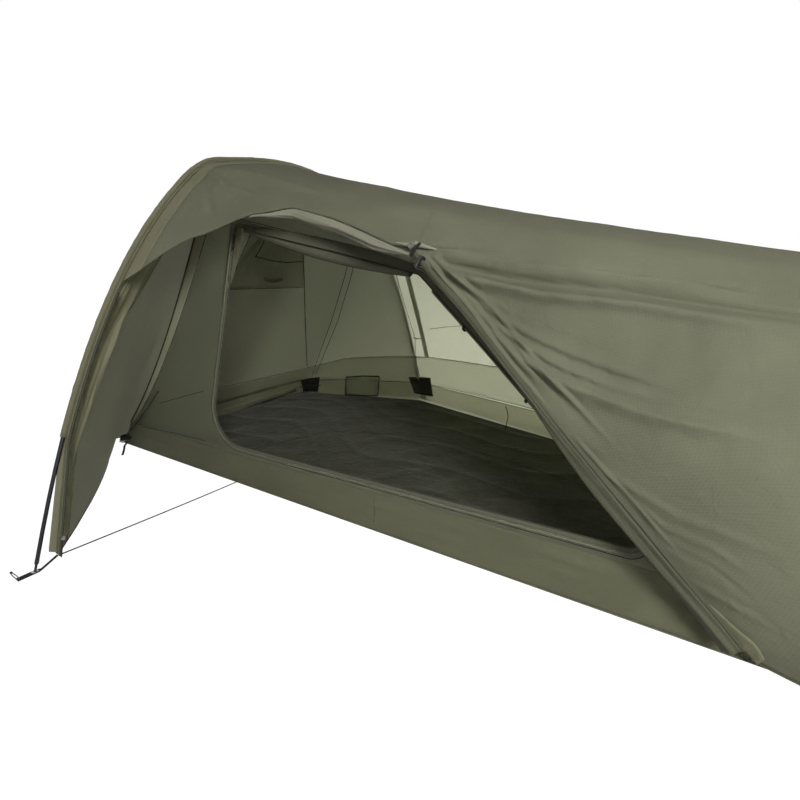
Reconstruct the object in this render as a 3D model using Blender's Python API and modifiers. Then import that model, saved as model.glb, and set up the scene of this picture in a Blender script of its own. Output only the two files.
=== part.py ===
"""Lightweight tunnel tent: one tall pole hoop, one low hoop at the foot end, a fly with a
side vestibule whose door is unzipped and gathered, and an inner tent hung inside it.

Metres, +Z up. X runs along the tent, towards the foot end, and the tall hoop stands in the plane
X = 0. -Y is the vestibule side. The groundsheet lies on Z = 0.
"""

import bisect
import math

import bmesh
import bpy
from mathutils import Matrix, Vector

# Tall hoop, to the middle of its pole.
HOOP_HALF_SPAN = 0.884
HOOP_HEIGHT = 0.985
# Low hoop at the foot end.
FOOT_HOOP_X = 1.53
FOOT_HALF_SPAN = 0.44
FOOT_HEIGHT = 0.635
# How far the cloth hangs below straight lines between its edges, as a share of its span.
FLY_SAG_RATIO = 0.25
HEAD_SAG_RATIO = 0.30
HEM_HEIGHT = 0.02
FABRIC = 0.0015
SEAM_GAP = 0.0008
CORNER_GAP = 0.0024
HEAD_SEAM_GAP = 0.0013
CLEARANCE = 0.0003

# Poles.
POLE_DIAMETER = 0.0085
POLE_WALL = 0.0007
FERRULE_CLEARANCE = 0.00035
FERRULE_REACH = 0.030
SECTION_GAP = 0.001
SHOCK_CORD_DIAMETER = 0.0025
TUBE_SIDES_RESOLUTION = 2
MAIN_SECTIONS = 6
MAIN_STEPS = 7
FOOT_SECTIONS = 4
FOOT_STEPS = 6
TIP_LENGTH = 0.029
TIP_PIN_DIAMETER = 0.005
TIP_PLUG_LENGTH = 0.020
TIP_COLLAR_LENGTH = 0.008
TIP_TAPER = 0.0035

# Sleeves that hold the poles on the fly.
SLEEVE_END_HEIGHT = 0.284
LEAST_STEP = 0.008
SLEEVE_LOOSENESS = 0.0005
SLEEVE_CLOTH = 0.0010
SLEEVE_WIDTH = 0.018
NEAR_HEM_PULL = 0.034
SLEEVE_BORE = POLE_DIAMETER / 2 + SLEEVE_LOOSENESS
SLEEVE_ARC = SLEEVE_BORE + SLEEVE_CLOTH / 2
LINING_DEPTH = SLEEVE_BORE + SLEEVE_CLOTH + SLEEVE_CLOTH / 2
FLANGE_DEPTH = LINING_DEPTH - SLEEVE_CLOTH - CLEARANCE
# The fly's panels are sewn to the sleeve's flanges, this far to each side of a hoop's plane.
FLY_EDGE = SLEEVE_WIDTH / 2 + FABRIC / 4 + CLEARANCE
FOOT_EDGE = SLEEVE_WIDTH / 2 + FABRIC / 2 + CLEARANCE

# Fly corners at the head end, and the fly's hem.
HEAD_HEM_X = -0.730
HEAD_HEM_NEAR_Y = -0.380
HEAD_HEM_FAR_Y = 0.690
HEAD_HEM_HEIGHT = 0.012
HEAD_HEM_BOW = 0.030
FOOT_SKIRT = 0.085
FOOT_SKIRT_HEIGHT = 0.012

# Vestibule door: where it opens on the hoop, where it is gathered, and where its roll ends.
ZIP_TOP = 0.600
DOOR_TOP_SIDES = ((0.0, 0.620), (0.137, 0.525), (0.256, 0.454), (0.330, 0.424), (0.430, 0.429))
GATHER_X = 0.650
GATHER_SIDE = 0.4705
ROLL_LOW_X = 1.288
ROLL_LOW_Y = -0.366
ROLL_LOW_HEIGHT = 0.014
ROLL_TOP_WIDTH = 0.018
ROLL_LOW_WIDTH = 0.076
ROLL_FLATNESS_RATIO = 0.5
ROLL_FOLD_RATIO = 0.16
ROLL_CLEARANCE = 0.0006
ROLL_FROM_SHARE = 0.015
ROLL_TO_SHARE = 0.955
ROLL_BAND_TO_SHARE = 0.15

# Inner tent: how far it stays inside the fly at the head end, the near side and the foot end.
HEAD_END_CLEARANCE = 0.045
NEAR_SIDE_CLEARANCE = 0.025
FAR_CORNER_CLEARANCE = 0.047
FOOT_END_CLEARANCE = 0.070
# How far its roof and far side hang inside the middle of each hoop's pole.
HOOP_TOP_CLEARANCE = 0.035
HOOP_SIDE_CLEARANCE = 0.046
FOOT_TOP_CLEARANCE = 0.050
FOOT_SIDE_CLEARANCE = 0.090
# How far the bathtub's top stands in from its foot at the head end.
TUB_HEAD_SLOPE = 0.080
TUB_FAR_SLOPE = 0.043
BATHTUB_HEIGHT = 0.100
INNER_HEAD_X = HEAD_HEM_X + HEAD_END_CLEARANCE
INNER_HEAD_TOP_X = INNER_HEAD_X + TUB_HEAD_SLOPE
INNER_FOOT_X = FOOT_HOOP_X - FOOT_END_CLEARANCE
INNER_NEAR_Y = HEAD_HEM_NEAR_Y + NEAR_SIDE_CLEARANCE
INNER_HEAD_FAR_Y = HEAD_HEM_FAR_Y - FAR_CORNER_CLEARANCE
INNER_HEAD_TOP_FAR_Y = INNER_HEAD_FAR_Y - TUB_FAR_SLOPE
INNER_HALF_SPAN = HOOP_HALF_SPAN - HOOP_SIDE_CLEARANCE
INNER_FOOT_HALF_SPAN = FOOT_HALF_SPAN - FOOT_SIDE_CLEARANCE
INNER_FAR_TAPER_RATIO = (INNER_HALF_SPAN - INNER_FOOT_HALF_SPAN) / INNER_FOOT_X
INNER_HEIGHT = HOOP_HEIGHT - HOOP_TOP_CLEARANCE
INNER_FOOT_HEIGHT = FOOT_HEIGHT - FOOT_TOP_CLEARANCE
TUB_SEAM = 0.0009
TUB_STEPS = 8
# The near wall's lean, as a share of height: up to one place it is steady, then it grows to the foot end.
NEAR_WALL_FLAT_TO = 0.095
NEAR_WALL_LEAN_RATIO = 0.0224
NEAR_WALL_FOOT_LEAN_RATIO = 0.3582
# Where the near wall's top seam lies, as a share of the half span.
INNER_CORNER_SIDE_SHARE = 0.400

# Inner door outline, as X and Z on the near wall, with the radius of each corner.
INNER_DOOR = (
    ((0.083, 0.775), 0.022),
    ((-0.125, 0.118), 0.110),
    ((1.175, 0.118), 0.030),
    ((0.612, 0.643), 0.035),
)
TOP_ROLL_RADIUS = 0.014
TOP_ROLL_SAG = 0.010
TOP_ROLL_FROM = 0.115
TOP_ROLL_TO = 0.565
SIDE_ROLL_RADIUS = 0.020
SIDE_ROLL_FROM_SHARE = 0.09
SIDE_ROLL_TO_SHARE = 0.90
TIE_SHARES = (0.16, 0.50)
TIE_WIDTH = 0.006
TIE_THICKNESS = 0.0012
TIE_CLEARANCE = 0.0006
TOP_FOLD_FROM = 0.270
TOP_FOLD_RADIUS = 0.013

# Zips: the tape, and the slider with its pull.
ZIP_TAPE_WIDTH = 0.012
SLIDER_LENGTH = 0.010
SLIDER_WALL = 0.0016
SLIDER_GRIP = 0.0045
SLIDER_NOSE = 0.0030
EAR_HEIGHT = 0.0036
EAR_THICKNESS = 0.0012
EAR_FOOT_WIDTH = 0.0044
EAR_HEAD_WIDTH = 0.0032
EAR_SINK = 0.0004
PIN_DIAMETER = 0.0014
PULL_WIDTH = 0.0034
PULL_THICKNESS = 0.0018
PULL_LENGTH = 0.040
PULL_EYE = 0.0022
INNER_SLIDER_REST = 0.012
FLY_SLIDER_REST = 0.045

# Patches sewn to the inside of the bathtub wall: place along its stretch, width, and height range.
POCKET = (0.40, 0.66, 0.012, 0.092)
FAR_PATCH_LENGTH = 0.055
HEAD_PATCH_LENGTH = 0.045
PATCH_GAP = 0.0018
FLAT_PATCH_GAP = 0.0006
PATCH_TOP = 0.096
PATCH_LOW = 0.010

# Toggle that holds the gathered vestibule door.
TOGGLE_LENGTH = 0.026
TOGGLE_DIAMETER = 0.007
DOOR_BAND_SHARE = 0.15

# Buckle at the groundsheet's near corner of the head end.
BUCKLE_LENGTH = 0.024
BUCKLE_WIDTH = 0.016
BUCKLE_BAR = 0.003
BUCKLE_THICKNESS = 0.003

# Webbing and cord at the pole feet.
STRAP_WIDTH = 0.015
STRAP_THICKNESS = 0.0015
STRAP_REACH = 0.032
STRAP_REST = 0.0007
EYELET_HOLE = 0.0088
TIP_HOLE = 0.0060
PEG_LOOP_LENGTH = 0.044
PEG_LOOP_WIDTH = 0.010
PEG_LOOP_CORD = 0.002
EYELET_BORE = 0.0066
EYELET_WALL = 0.0008
EYELET_FLANGE = 0.0130
EYELET_FLANGE_THICKNESS = 0.0006
GROUND_CORD_DIAMETER = 0.003
GROUND_CORD_SAG_POWER = 1.4

COLOURS = {
    "fly": ((0.105, 0.110, 0.075, 1.0), 0.62, 0.0),
    "sleeve": ((0.125, 0.118, 0.075, 1.0), 0.70, 0.0),
    "inner": ((0.130, 0.135, 0.100, 1.0), 0.75, 0.0),
    "groundsheet": ((0.045, 0.047, 0.034, 1.0), 0.55, 0.0),
    "mesh": ((0.050, 0.052, 0.042, 1.0), 0.80, 0.0),
    "black_metal": ((0.020, 0.021, 0.023, 1.0), 0.35, 0.9),
    "light_metal": ((0.560, 0.560, 0.550, 1.0), 0.35, 1.0),
    "black_cord": ((0.015, 0.015, 0.016, 1.0), 0.85, 0.0),
    "grey_cord": ((0.110, 0.110, 0.105, 1.0), 0.85, 0.0),
    "webbing": ((0.018, 0.018, 0.019, 1.0), 0.80, 0.0),
    "black_plastic": ((0.020, 0.020, 0.021, 1.0), 0.45, 0.0),
}

# Half of a hoop, from its foot to its crown, as three Bezier curves in shares of half span and height.
ARCH_CURVES = (
    ((1.000, 0.000), (0.881, 0.328), (0.724, 0.689), (0.4355, 0.9168)),
    ((0.4355, 0.9168), (0.410, 0.9369), (0.3949, 0.944), (0.362, 0.9513)),
    ((0.362, 0.9513), (0.241, 0.9777), (0.1244, 1.000), (0.000, 1.000)),
)
ARCH_SAMPLES = 60


def mix(a, b, share):
    return a + (b - a) * share


def sagged(share, sag):
    """A share along a span, moved on by the sag of cloth that hangs between its ends."""
    return share + sag * share * (1 - share)


def bezier(points, s):
    """A point on a cubic curve in the plane."""
    a, b, c, d = points
    r = 1 - s
    weights = (r * r * r, 3 * r * r * s, 3 * r * s * s, s * s * s)
    return tuple(sum(w * p[k] for w, p in zip(weights, (a, b, c, d))) for k in (0, 1))


def arch_table():
    """The arch from the near foot to the far foot: its length, the share of it at each point, the points."""
    half = []
    for curve in ARCH_CURVES:
        half += [bezier(curve, k / ARCH_SAMPLES) for k in range(ARCH_SAMPLES)]
    half.append(ARCH_CURVES[-1][-1])
    whole = [(-u, v) for u, v in half] + [(u, v) for u, v in reversed(half[:-1])]
    lengths = [0.0]
    for a, b in zip(whole, whole[1:]):
        step = math.hypot((b[0] - a[0]) * HOOP_HALF_SPAN, (b[1] - a[1]) * HOOP_HEIGHT)
        lengths.append(lengths[-1] + step)
    return lengths[-1], [s / lengths[-1] for s in lengths], whole


ARCH_LENGTH, ARCH_SHARES, ARCH_OUTLINE = arch_table()


def arch_at(t):
    """Side, from -1 to 1, and height, from 0 to 1, at a share of the arch's length."""
    i = min(max(bisect.bisect_right(ARCH_SHARES, t) - 1, 0), len(ARCH_SHARES) - 2)
    k = (t - ARCH_SHARES[i]) / (ARCH_SHARES[i + 1] - ARCH_SHARES[i])
    (ua, va), (ub, vb) = ARCH_OUTLINE[i], ARCH_OUTLINE[i + 1]
    return mix(ua, ub, k), mix(va, vb, k)


def share_where(value_of, target, low=0.0, high=0.5):
    """The share of the near half at which a value that grows from foot to crown meets a target."""
    for _ in range(50):
        middle = (low + high) / 2
        if value_of(middle) < target:
            low = middle
        else:
            high = middle
    return (low + high) / 2


def share_at_height(height, hoop_height):
    return share_where(lambda t: arch_at(t)[1] * hoop_height, height)


def share_at_side(side):
    return share_where(lambda t: arch_at(t)[0], -side)


HEM_SHARE = share_at_height(HEM_HEIGHT, HOOP_HEIGHT)
SLEEVE_END_SHARE = share_at_height(SLEEVE_END_HEIGHT, HOOP_HEIGHT)
GATHER_SHARE = share_at_side(GATHER_SIDE / HOOP_HALF_SPAN)
INNER_CORNER_SHARE = share_at_side(INNER_CORNER_SIDE_SHARE)
SHOULDER_SHARE = share_at_side(ARCH_CURVES[1][3][0])


def hoop_point(t, half_span, height, x):
    u, v = arch_at(t)
    return Vector((x, half_span * u, height * v))


def near_pull(z, x):
    """How far the fly's near edge stands in from the pole below the sleeve, so that it runs straight."""
    if z >= SLEEVE_END_HEIGHT:
        return 0.0
    hem = arch_at(HEM_SHARE)[0] * HOOP_HALF_SPAN + NEAR_HEM_PULL
    top = arch_at(SLEEVE_END_SHARE)[0] * HOOP_HALF_SPAN
    own = arch_at(share_at_height(max(z, 0.0), HOOP_HEIGHT))[0] * HOOP_HALF_SPAN
    straight = mix(hem, top, (z - HEM_HEIGHT) / (SLEEVE_END_HEIGHT - HEM_HEIGHT))
    return (straight - own) * max(0.0, 1 - x / FOOT_HOOP_X)


def fly_point(x, t):
    """The fly between the hoops: x along the tent, t along the arch from the near hem to the far hem."""
    w = sagged(x / FOOT_HOOP_X, FLY_SAG_RATIO)
    u, v = arch_at(t)
    y = (mix(HOOP_HALF_SPAN, FOOT_HALF_SPAN, w) - FLANGE_DEPTH) * u
    z = (mix(HOOP_HEIGHT, FOOT_HEIGHT, w) - FLANGE_DEPTH) * v
    if u < 0:
        y += near_pull(v * HOOP_HEIGHT, x)
    return Vector((x, y, z))


def head_hem(t):
    """The fly's hem round the head end: near leg to near corner, across the end, and back to the far leg."""
    near, far = 1 - SHOULDER_SHARE, SHOULDER_SHARE
    first, last = fly_point(0, HEM_SHARE), fly_point(0, 1 - HEM_SHARE)
    near_corner = Vector((HEAD_HEM_X, HEAD_HEM_NEAR_Y, HEAD_HEM_HEIGHT))
    far_corner = Vector((HEAD_HEM_X, HEAD_HEM_FAR_Y, HEAD_HEM_HEIGHT))
    if t <= far:
        s = (t - HEM_SHARE) / (far - HEM_SHARE)
        inwards = Vector((0, 1, 0))
        return first.lerp(near_corner, s) + inwards * HEAD_HEM_BOW * 4 * s * (1 - s)
    if t < near:
        return near_corner.lerp(far_corner, (t - far) / (near - far))
    s = (t - near) / (1 - HEM_SHARE - near)
    return far_corner.lerp(last, s)


def head_point(q, t):
    """The fly from the tall hoop, q = 0, to its hem round the head end, q = 1."""
    w = sagged(q, HEAD_SAG_RATIO)
    top, hem = fly_point(0, t), head_hem(t)
    return Vector((mix(top.x, hem.x, q), mix(top.y, hem.y, w), mix(top.z, hem.z, w)))


def inner_height(x):
    return mix(INNER_HEIGHT, INNER_FOOT_HEIGHT, sagged(x / INNER_FOOT_X, FLY_SAG_RATIO))


def inner_edge_height(x):
    """Height of the seam between the inner's near wall and its roof."""
    v = arch_at(INNER_CORNER_SHARE)[1]
    if x >= 0:
        return mix(BATHTUB_HEIGHT, inner_height(x), v)
    top = mix(BATHTUB_HEIGHT, INNER_HEIGHT, v)
    return mix(top, BATHTUB_HEIGHT, sagged(x / INNER_HEAD_TOP_X, HEAD_SAG_RATIO))


def near_wall_y(x, z):
    """The inner's near wall leans in, and more so towards the foot end."""
    on = max(0.0, x - NEAR_WALL_FLAT_TO) / (INNER_FOOT_X - NEAR_WALL_FLAT_TO)
    return INNER_NEAR_Y + mix(NEAR_WALL_LEAN_RATIO, NEAR_WALL_FOOT_LEAN_RATIO, on) * z


def inner_point(x, t):
    """The inner's roof and far wall, from the near wall's top seam to the far bathtub seam."""
    u, v = arch_at(t)
    if u < 0:
        half = near_wall_y(x, inner_edge_height(x)) / -INNER_CORNER_SIDE_SHARE
    else:
        half = INNER_HALF_SPAN - INNER_FAR_TAPER_RATIO * x
    return Vector((x, half * u, mix(BATHTUB_HEIGHT, inner_height(x), v)))


def inner_head_point(q, t):
    """The inner's head wall and far gusset, from the tall hoop, q = 0, to the bathtub seam, q = 1."""
    w = sagged(q, HEAD_SAG_RATIO)
    top = inner_point(0, t)
    far = 1 - INNER_CORNER_SHARE
    near_low = near_wall_y(INNER_HEAD_TOP_X, BATHTUB_HEIGHT)
    if t <= far:
        s = (t - INNER_CORNER_SHARE) / (far - INNER_CORNER_SHARE)
        low = Vector((INNER_HEAD_TOP_X, mix(near_low, INNER_HEAD_TOP_FAR_Y, s), BATHTUB_HEIGHT))
    else:
        s = (t - far) / (1 - far)
        y = mix(INNER_HEAD_TOP_FAR_Y, INNER_HALF_SPAN, s)
        low = Vector((mix(INNER_HEAD_TOP_X, 0, s), y, BATHTUB_HEIGHT))
    return Vector((mix(top.x, low.x, q), mix(top.y, low.y, w), mix(top.z, low.z, w)))


# Object makers.


def clear_scene():
    for thing in list(bpy.data.objects):
        bpy.data.objects.remove(thing, do_unlink=True)


def new_collection(name):
    collection = bpy.data.collections.new(name)
    bpy.context.scene.collection.children.link(collection)
    return collection


def material(finish):
    made = bpy.data.materials.get(finish)
    if made is None:
        colour, roughness, metallic = COLOURS[finish]
        made = bpy.data.materials.new(finish)
        made.use_nodes = True
        shader = made.node_tree.nodes["Principled BSDF"]
        shader.inputs["Base Color"].default_value = colour
        shader.inputs["Roughness"].default_value = roughness
        shader.inputs["Metallic"].default_value = metallic
    return made


def add_object(name, data, finish):
    thing = bpy.data.objects.new(name, data)
    tent.objects.link(thing)
    data.materials.append(material(finish))
    return thing


def mesh_object(name, shape, finish, smooth=True):
    mesh = bpy.data.meshes.new(name)
    shape.to_mesh(mesh)
    shape.free()
    if smooth:
        mesh.shade_smooth()
        mesh.set_sharp_from_angle(angle=math.radians(40))
    return add_object(name, mesh, finish)


def solidify(thing, thickness, offset=0.0, even=False):
    wall = thing.modifiers.new("Cloth", "SOLIDIFY")
    wall.thickness = thickness
    wall.offset = offset
    wall.use_even_offset = even
    return thing


def grid_shape(surface, us, vs):
    """A grid whose corners are moved onto a surface, given by the values of its two directions."""
    shape = bmesh.new()
    bmesh.ops.create_grid(shape, x_segments=len(us) - 1, y_segments=len(vs) - 1, size=1)
    for corner in shape.verts:
        i = round((corner.co.x + 1) / 2 * (len(us) - 1))
        j = round((corner.co.y + 1) / 2 * (len(vs) - 1))
        corner.co = surface(us[i], vs[j])
    bmesh.ops.remove_doubles(shape, verts=shape.verts, dist=1e-6)
    return shape


def cloth(name, surface, us, vs, finish="fly", thickness=FABRIC):
    return solidify(mesh_object(name, grid_shape(surface, us, vs), finish), thickness)


def spread(low, high, count):
    return [mix(low, high, k / count) for k in range(count + 1)]


def normal_of(surface, u, v, step=1e-4):
    """The direction square to a surface that points away from the middle of the tent."""
    along = surface(u + step, v) - surface(u - step, v)
    across = surface(u, v + step) - surface(u, v - step)
    normal = along.cross(across).normalized()
    outwards = surface(u, v) - Vector((0.3, 0.0, 0.1))
    return normal if normal.dot(outwards) > 0 else -normal


def tube_curve(name, points, radius, finish, resolution=2, caps=True, shares=None):
    """A round tube along a line of points, whose radius may change from point to point."""
    data = bpy.data.curves.new(name, "CURVE")
    data.dimensions = "3D"
    data.bevel_depth = radius
    data.bevel_resolution = resolution
    data.use_fill_caps = caps
    spline = data.splines.new("POLY")
    spline.points.add(len(points) - 1)
    for k, (knot, point) in enumerate(zip(spline.points, points)):
        knot.co = (*point, 1.0)
        knot.radius = shares[k] if shares else 1.0
    return add_object(name, data, finish)


def as_mesh(thing):
    """A curve object turned to a mesh object of the same name, with its caps welded."""
    bpy.context.view_layer.update()
    evaluated = thing.evaluated_get(bpy.context.evaluated_depsgraph_get())
    shape = bmesh.new()
    shape.from_mesh(bpy.data.meshes.new_from_object(evaluated))
    bmesh.ops.remove_doubles(shape, verts=shape.verts, dist=1e-6)
    name, finish, place = thing.name, thing.data.materials[0], thing.matrix_world.copy()
    bpy.data.objects.remove(thing, do_unlink=True)
    mesh = bpy.data.meshes.new(name)
    shape.to_mesh(mesh)
    shape.free()
    mesh.materials.clear()
    mesh.materials.append(finish)
    made = bpy.data.objects.new(name, mesh)
    tent.objects.link(made)
    made.matrix_world = place
    return made


def turned(name, profile, finish, place, steps=16, closed=False):
    """A turned piece from a profile of radius and height that runs down its outer side."""
    shape = bmesh.new()
    corners = [shape.verts.new((r, 0, z)) for r, z in profile]
    for a, b in zip(corners, corners[1:]):
        shape.edges.new((a, b))
    if closed:
        shape.edges.new((corners[-1], corners[0]))
    thing = mesh_object(name, shape, finish, smooth=False)
    screw = thing.modifiers.new("Turn", "SCREW")
    screw.axis = "Z"
    screw.steps = steps
    screw.render_steps = steps
    screw.use_merge_vertices = True
    screw.merge_threshold = 1e-5
    thing.matrix_world = place
    return thing


def frame_at(point, upwards):
    """A placement whose Z axis points along a direction, with its X axis as near the tent's as can be."""
    z = upwards.normalized()
    y = z.cross(Vector((1, 0, 0))).normalized()
    x = y.cross(z)
    return Matrix.Translation(point) @ Matrix((x, y, z)).transposed().to_4x4()


# Poles.


def hoop_stations(half_span, height, x, count):
    """Points evenly spaced along a hoop's pole, between the tops of its two tips."""
    fine = [hoop_point(k / 800, half_span, height, x) for k in range(801)]
    lengths = [0.0]
    for a, b in zip(fine, fine[1:]):
        lengths.append(lengths[-1] + (b - a).length)
    points = []
    for wanted in spread(TIP_LENGTH, lengths[-1] - TIP_LENGTH, count):
        i = min(bisect.bisect_right(lengths, wanted) - 1, len(fine) - 2)
        points.append(fine[i].lerp(fine[i + 1], (wanted - lengths[i]) / (lengths[i + 1] - lengths[i])))
    return points


def drawn_in(points, distance):
    """A line with its two ends drawn in by a distance."""
    first = points[0] + (points[1] - points[0]).normalized() * distance
    last = points[-1] + (points[-2] - points[-1]).normalized() * distance
    return [first, *points[1:-1], last]


def pole_section(name, run, onward):
    """One tube of a pole. Its upper end carries the ferrule that goes on into the next tube."""
    bore = POLE_DIAMETER - 2 * POLE_WALL
    ferrule = bore - 2 * FERRULE_CLEARANCE
    line = drawn_in(run, SECTION_GAP / 2)
    shares = [1.0] * len(line)
    if onward is not None:
        ahead = (onward - run[-1]).normalized()
        shoulder = run[-1] + ahead * (POLE_WALL - SECTION_GAP / 2)
        line += [shoulder, run[-1] + ahead * FERRULE_REACH]
        shares += [ferrule / POLE_DIAMETER] * 2
    guide = tube_curve(
        name, line, POLE_DIAMETER / 2, "black_metal", TUBE_SIDES_RESOLUTION, caps=False, shares=shares
    )
    tube = as_mesh(guide)
    tube.name = name
    tube.data.shade_smooth()
    return solidify(tube, POLE_WALL, offset=-1.0, even=True)


def pole(prefix, stations, sections, steps):
    """A shock-corded pole: its tube sections, the cord through them and a tip at each end."""
    ferrule = POLE_DIAMETER - 2 * POLE_WALL - 2 * FERRULE_CLEARANCE
    for k in range(sections):
        run = stations[k * steps : (k + 1) * steps + 1]
        onward = stations[(k + 1) * steps + 1] if k + 1 < sections else None
        pole_section(f"{prefix}_section_{k + 1}", run, onward)
    cord = drawn_in(stations, TIP_PLUG_LENGTH + CLEARANCE)
    tube_curve(f"{prefix}_shock_cord", cord, SHOCK_CORD_DIAMETER / 2, "grey_cord", resolution=1)
    collar, pin = POLE_DIAMETER / 2, TIP_PIN_DIAMETER / 2
    profile = (
        (0, TIP_PLUG_LENGTH),
        (ferrule / 2, TIP_PLUG_LENGTH),
        (ferrule / 2, 0),
        (collar, 0),
        (collar, -TIP_COLLAR_LENGTH),
        (pin, -TIP_COLLAR_LENGTH - TIP_TAPER),
        (pin, -TIP_LENGTH + TIP_TAPER),
        (pin / 2, -TIP_LENGTH + TIP_TAPER / 2),
        (0, -TIP_LENGTH + TIP_TAPER / 2),
    )
    for side, end, nxt in (("near", stations[0], stations[1]), ("far", stations[-1], stations[-2])):
        upwards = (nxt - end).normalized()
        turned(f"{prefix}_tip_{side}", profile, "light_metal", frame_at(end, upwards), steps=12)


def main_stations():
    return hoop_stations(HOOP_HALF_SPAN, HOOP_HEIGHT, 0.0, MAIN_SECTIONS * MAIN_STEPS)


def foot_stations():
    return hoop_stations(FOOT_HALF_SPAN, FOOT_HEIGHT, FOOT_HOOP_X, FOOT_SECTIONS * FOOT_STEPS)


def make_poles():
    pole("main_pole", main_stations(), MAIN_SECTIONS, MAIN_STEPS)
    pole("foot_pole", foot_stations(), FOOT_SECTIONS, FOOT_STEPS)


# Sleeves: an outer strip that goes over the pole and a flat lining strip under it.

def sleeve_profile():
    """The outer strip's section: flange, arc over the pole, flange, as offsets along X and outwards."""
    half = SLEEVE_WIDTH / 2
    low = math.radians(-48)
    arc = [low + (math.pi - 2 * low) * k / 6 for k in range(7)]
    top = [(SLEEVE_ARC * 1.04 * math.cos(a), SLEEVE_ARC * 1.04 * math.sin(a)) for a in arc]
    return [(half, -FLANGE_DEPTH), *top, (-half, -FLANGE_DEPTH)]


def hoop_frames(stations):
    """Each station with its outward direction in the hoop's plane."""
    frames = []
    for k, point in enumerate(stations):
        before, after = stations[max(k - 1, 0)], stations[min(k + 1, len(stations) - 1)]
        along = (after - before).normalized()
        frames.append((point, Vector((0, -along.z, along.y))))
    return frames


def crossing(low, high, height):
    """The frame between two at which a hoop passes a height."""
    share = (height - low[0].z) / (high[0].z - low[0].z)
    return low[0].lerp(high[0], share), low[1].lerp(high[1], share).normalized()


def frames_above(stations, height):
    """The frames of a hoop above a height, cut exactly there at both ends."""
    frames = hoop_frames(stations)
    inside = [k for k, (point, _) in enumerate(frames) if point.z > height + LEAST_STEP]
    first, last = inside[0], inside[-1]
    start = crossing(frames[first - 1], frames[first], height)
    end = crossing(frames[last + 1], frames[last], height)
    return [start, *frames[first : last + 1], end]


def sleeve(prefix, stations, end_height):
    """The strip over the pole, down to where the pole comes out, and the lining under all of it."""
    kept = frames_above(stations, end_height)
    profile = sleeve_profile()

    def strip(i, j):
        point, outwards = kept[i]
        x, n = profile[j]
        return point + Vector((x, 0, 0)) + outwards * n

    over = grid_shape(strip, list(range(len(kept))), list(range(len(profile))))
    solidify(mesh_object(f"{prefix}_sleeve", over, "sleeve"), SLEEVE_CLOTH)
    return kept


def main_lining_line():
    """Middle line of the tall hoop's lining: under the pole, then straight to the near hem tab."""
    line = [p + n * -LINING_DEPTH for p, n in frames_above(main_stations(), SLEEVE_END_HEIGHT)]
    near_hem = fly_point(0, HEM_SHARE)
    low, high = HEM_HEIGHT + LEAST_STEP, SLEEVE_END_HEIGHT - LEAST_STEP
    far = [(p, n) for p, n in hoop_frames(main_stations()) if p.y > 0 and low < p.z < high]
    return [near_hem, *line, *(p + n * -LINING_DEPTH for p, n in far)]


def make_sleeves():
    sleeve("main_pole", main_stations(), SLEEVE_END_HEIGHT)
    sleeve("foot_pole", foot_stations(), SLEEVE_END_HEIGHT * FOOT_HEIGHT / HOOP_HEIGHT)

    line = main_lining_line()

    def lining(i, j):
        width = SLEEVE_WIDTH if i else SLEEVE_WIDTH / 2
        return line[i] + Vector((width * (j - 0.5), 0, 0))

    strip = grid_shape(lining, list(range(len(line))), [0, 1])
    solidify(mesh_object("main_sleeve_lining", strip, "sleeve"), SLEEVE_CLOTH)

    low = [p + n * -LINING_DEPTH for p, n in hoop_frames(foot_stations()) if p.z > HEM_HEIGHT + 0.02]

    def foot_lining(i, j):
        return low[i] + Vector((SLEEVE_WIDTH * (j - 0.5), 0, 0))

    strip = grid_shape(foot_lining, list(range(len(low))), [0, 1])
    solidify(mesh_object("foot_sleeve_lining", strip, "sleeve"), SLEEVE_CLOTH)


# Fly.


def door_top_share(x):
    """Share of the arch at which the vestibule door's top edge lies, for a place along the tent."""
    if x >= GATHER_X:
        return GATHER_SHARE
    stops = [*DOOR_TOP_SIDES, (GATHER_X, GATHER_SIDE)]
    for (xa, sa), (xb, sb) in zip(stops, stops[1:]):
        if x <= xb:
            ease = (1 - math.cos(math.pi * (x - xa) / (xb - xa))) / 2
            side = mix(sa, sb, mix((x - xa) / (xb - xa), ease, 0.4))
            return share_at_side(side / HOOP_HALF_SPAN)
    return GATHER_SHARE


LOW_XS = (FLY_EDGE, 0.10, 0.19, 0.28, 0.37, 0.46, 0.555, GATHER_X)
HIGH_XS = tuple(spread(GATHER_X, FOOT_HOOP_X - FLY_EDGE, 8))
LONG_XS = LOW_XS[:-1] + HIGH_XS


def make_fly():
    gap = SEAM_GAP / 2 / ARCH_LENGTH
    side_seam = CORNER_GAP / 2 / ARCH_LENGTH

    def far_roof(x, t):
        return fly_point(x, t)

    cloth("fly_roof_far", far_roof, LONG_XS, spread(0.5 + gap, 1 - HEM_SHARE, 14))

    def near_roof(x, s):
        low = door_top_share(x) + side_seam
        return fly_point(x, mix(low, 0.5 - gap, s))

    cloth("fly_roof_near", near_roof, LONG_XS, spread(0, 1, 6))
    make_near_side()
    make_fly_head()
    make_fly_foot()


def roll_point(s):
    """The free edge of the gathered door, from the gather down to the ground near the foot end."""
    top = fly_point(GATHER_X, GATHER_SHARE)
    low = Vector((ROLL_LOW_X, ROLL_LOW_Y, ROLL_LOW_HEIGHT))
    return top.lerp(low, s)


def foot_leg_point(s):
    """The fly's edge at the low hoop, from the height of the gather's seam down to the hem."""
    return fly_point(HIGH_XS[-1], mix(GATHER_SHARE, HEM_SHARE, s))


def side_edge_point(s):
    """The near side's free edge, which stands to the right of the roll as the roll widens."""
    beside = (ROLL_LOW_WIDTH / 2 + ROLL_CLEARANCE) * math.sqrt(s)
    return roll_point(s) + Vector((1, 0, 1)).normalized() * beside


def side_hem_point(s):
    return side_edge_point(1).lerp(foot_leg_point(1), s)


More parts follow.
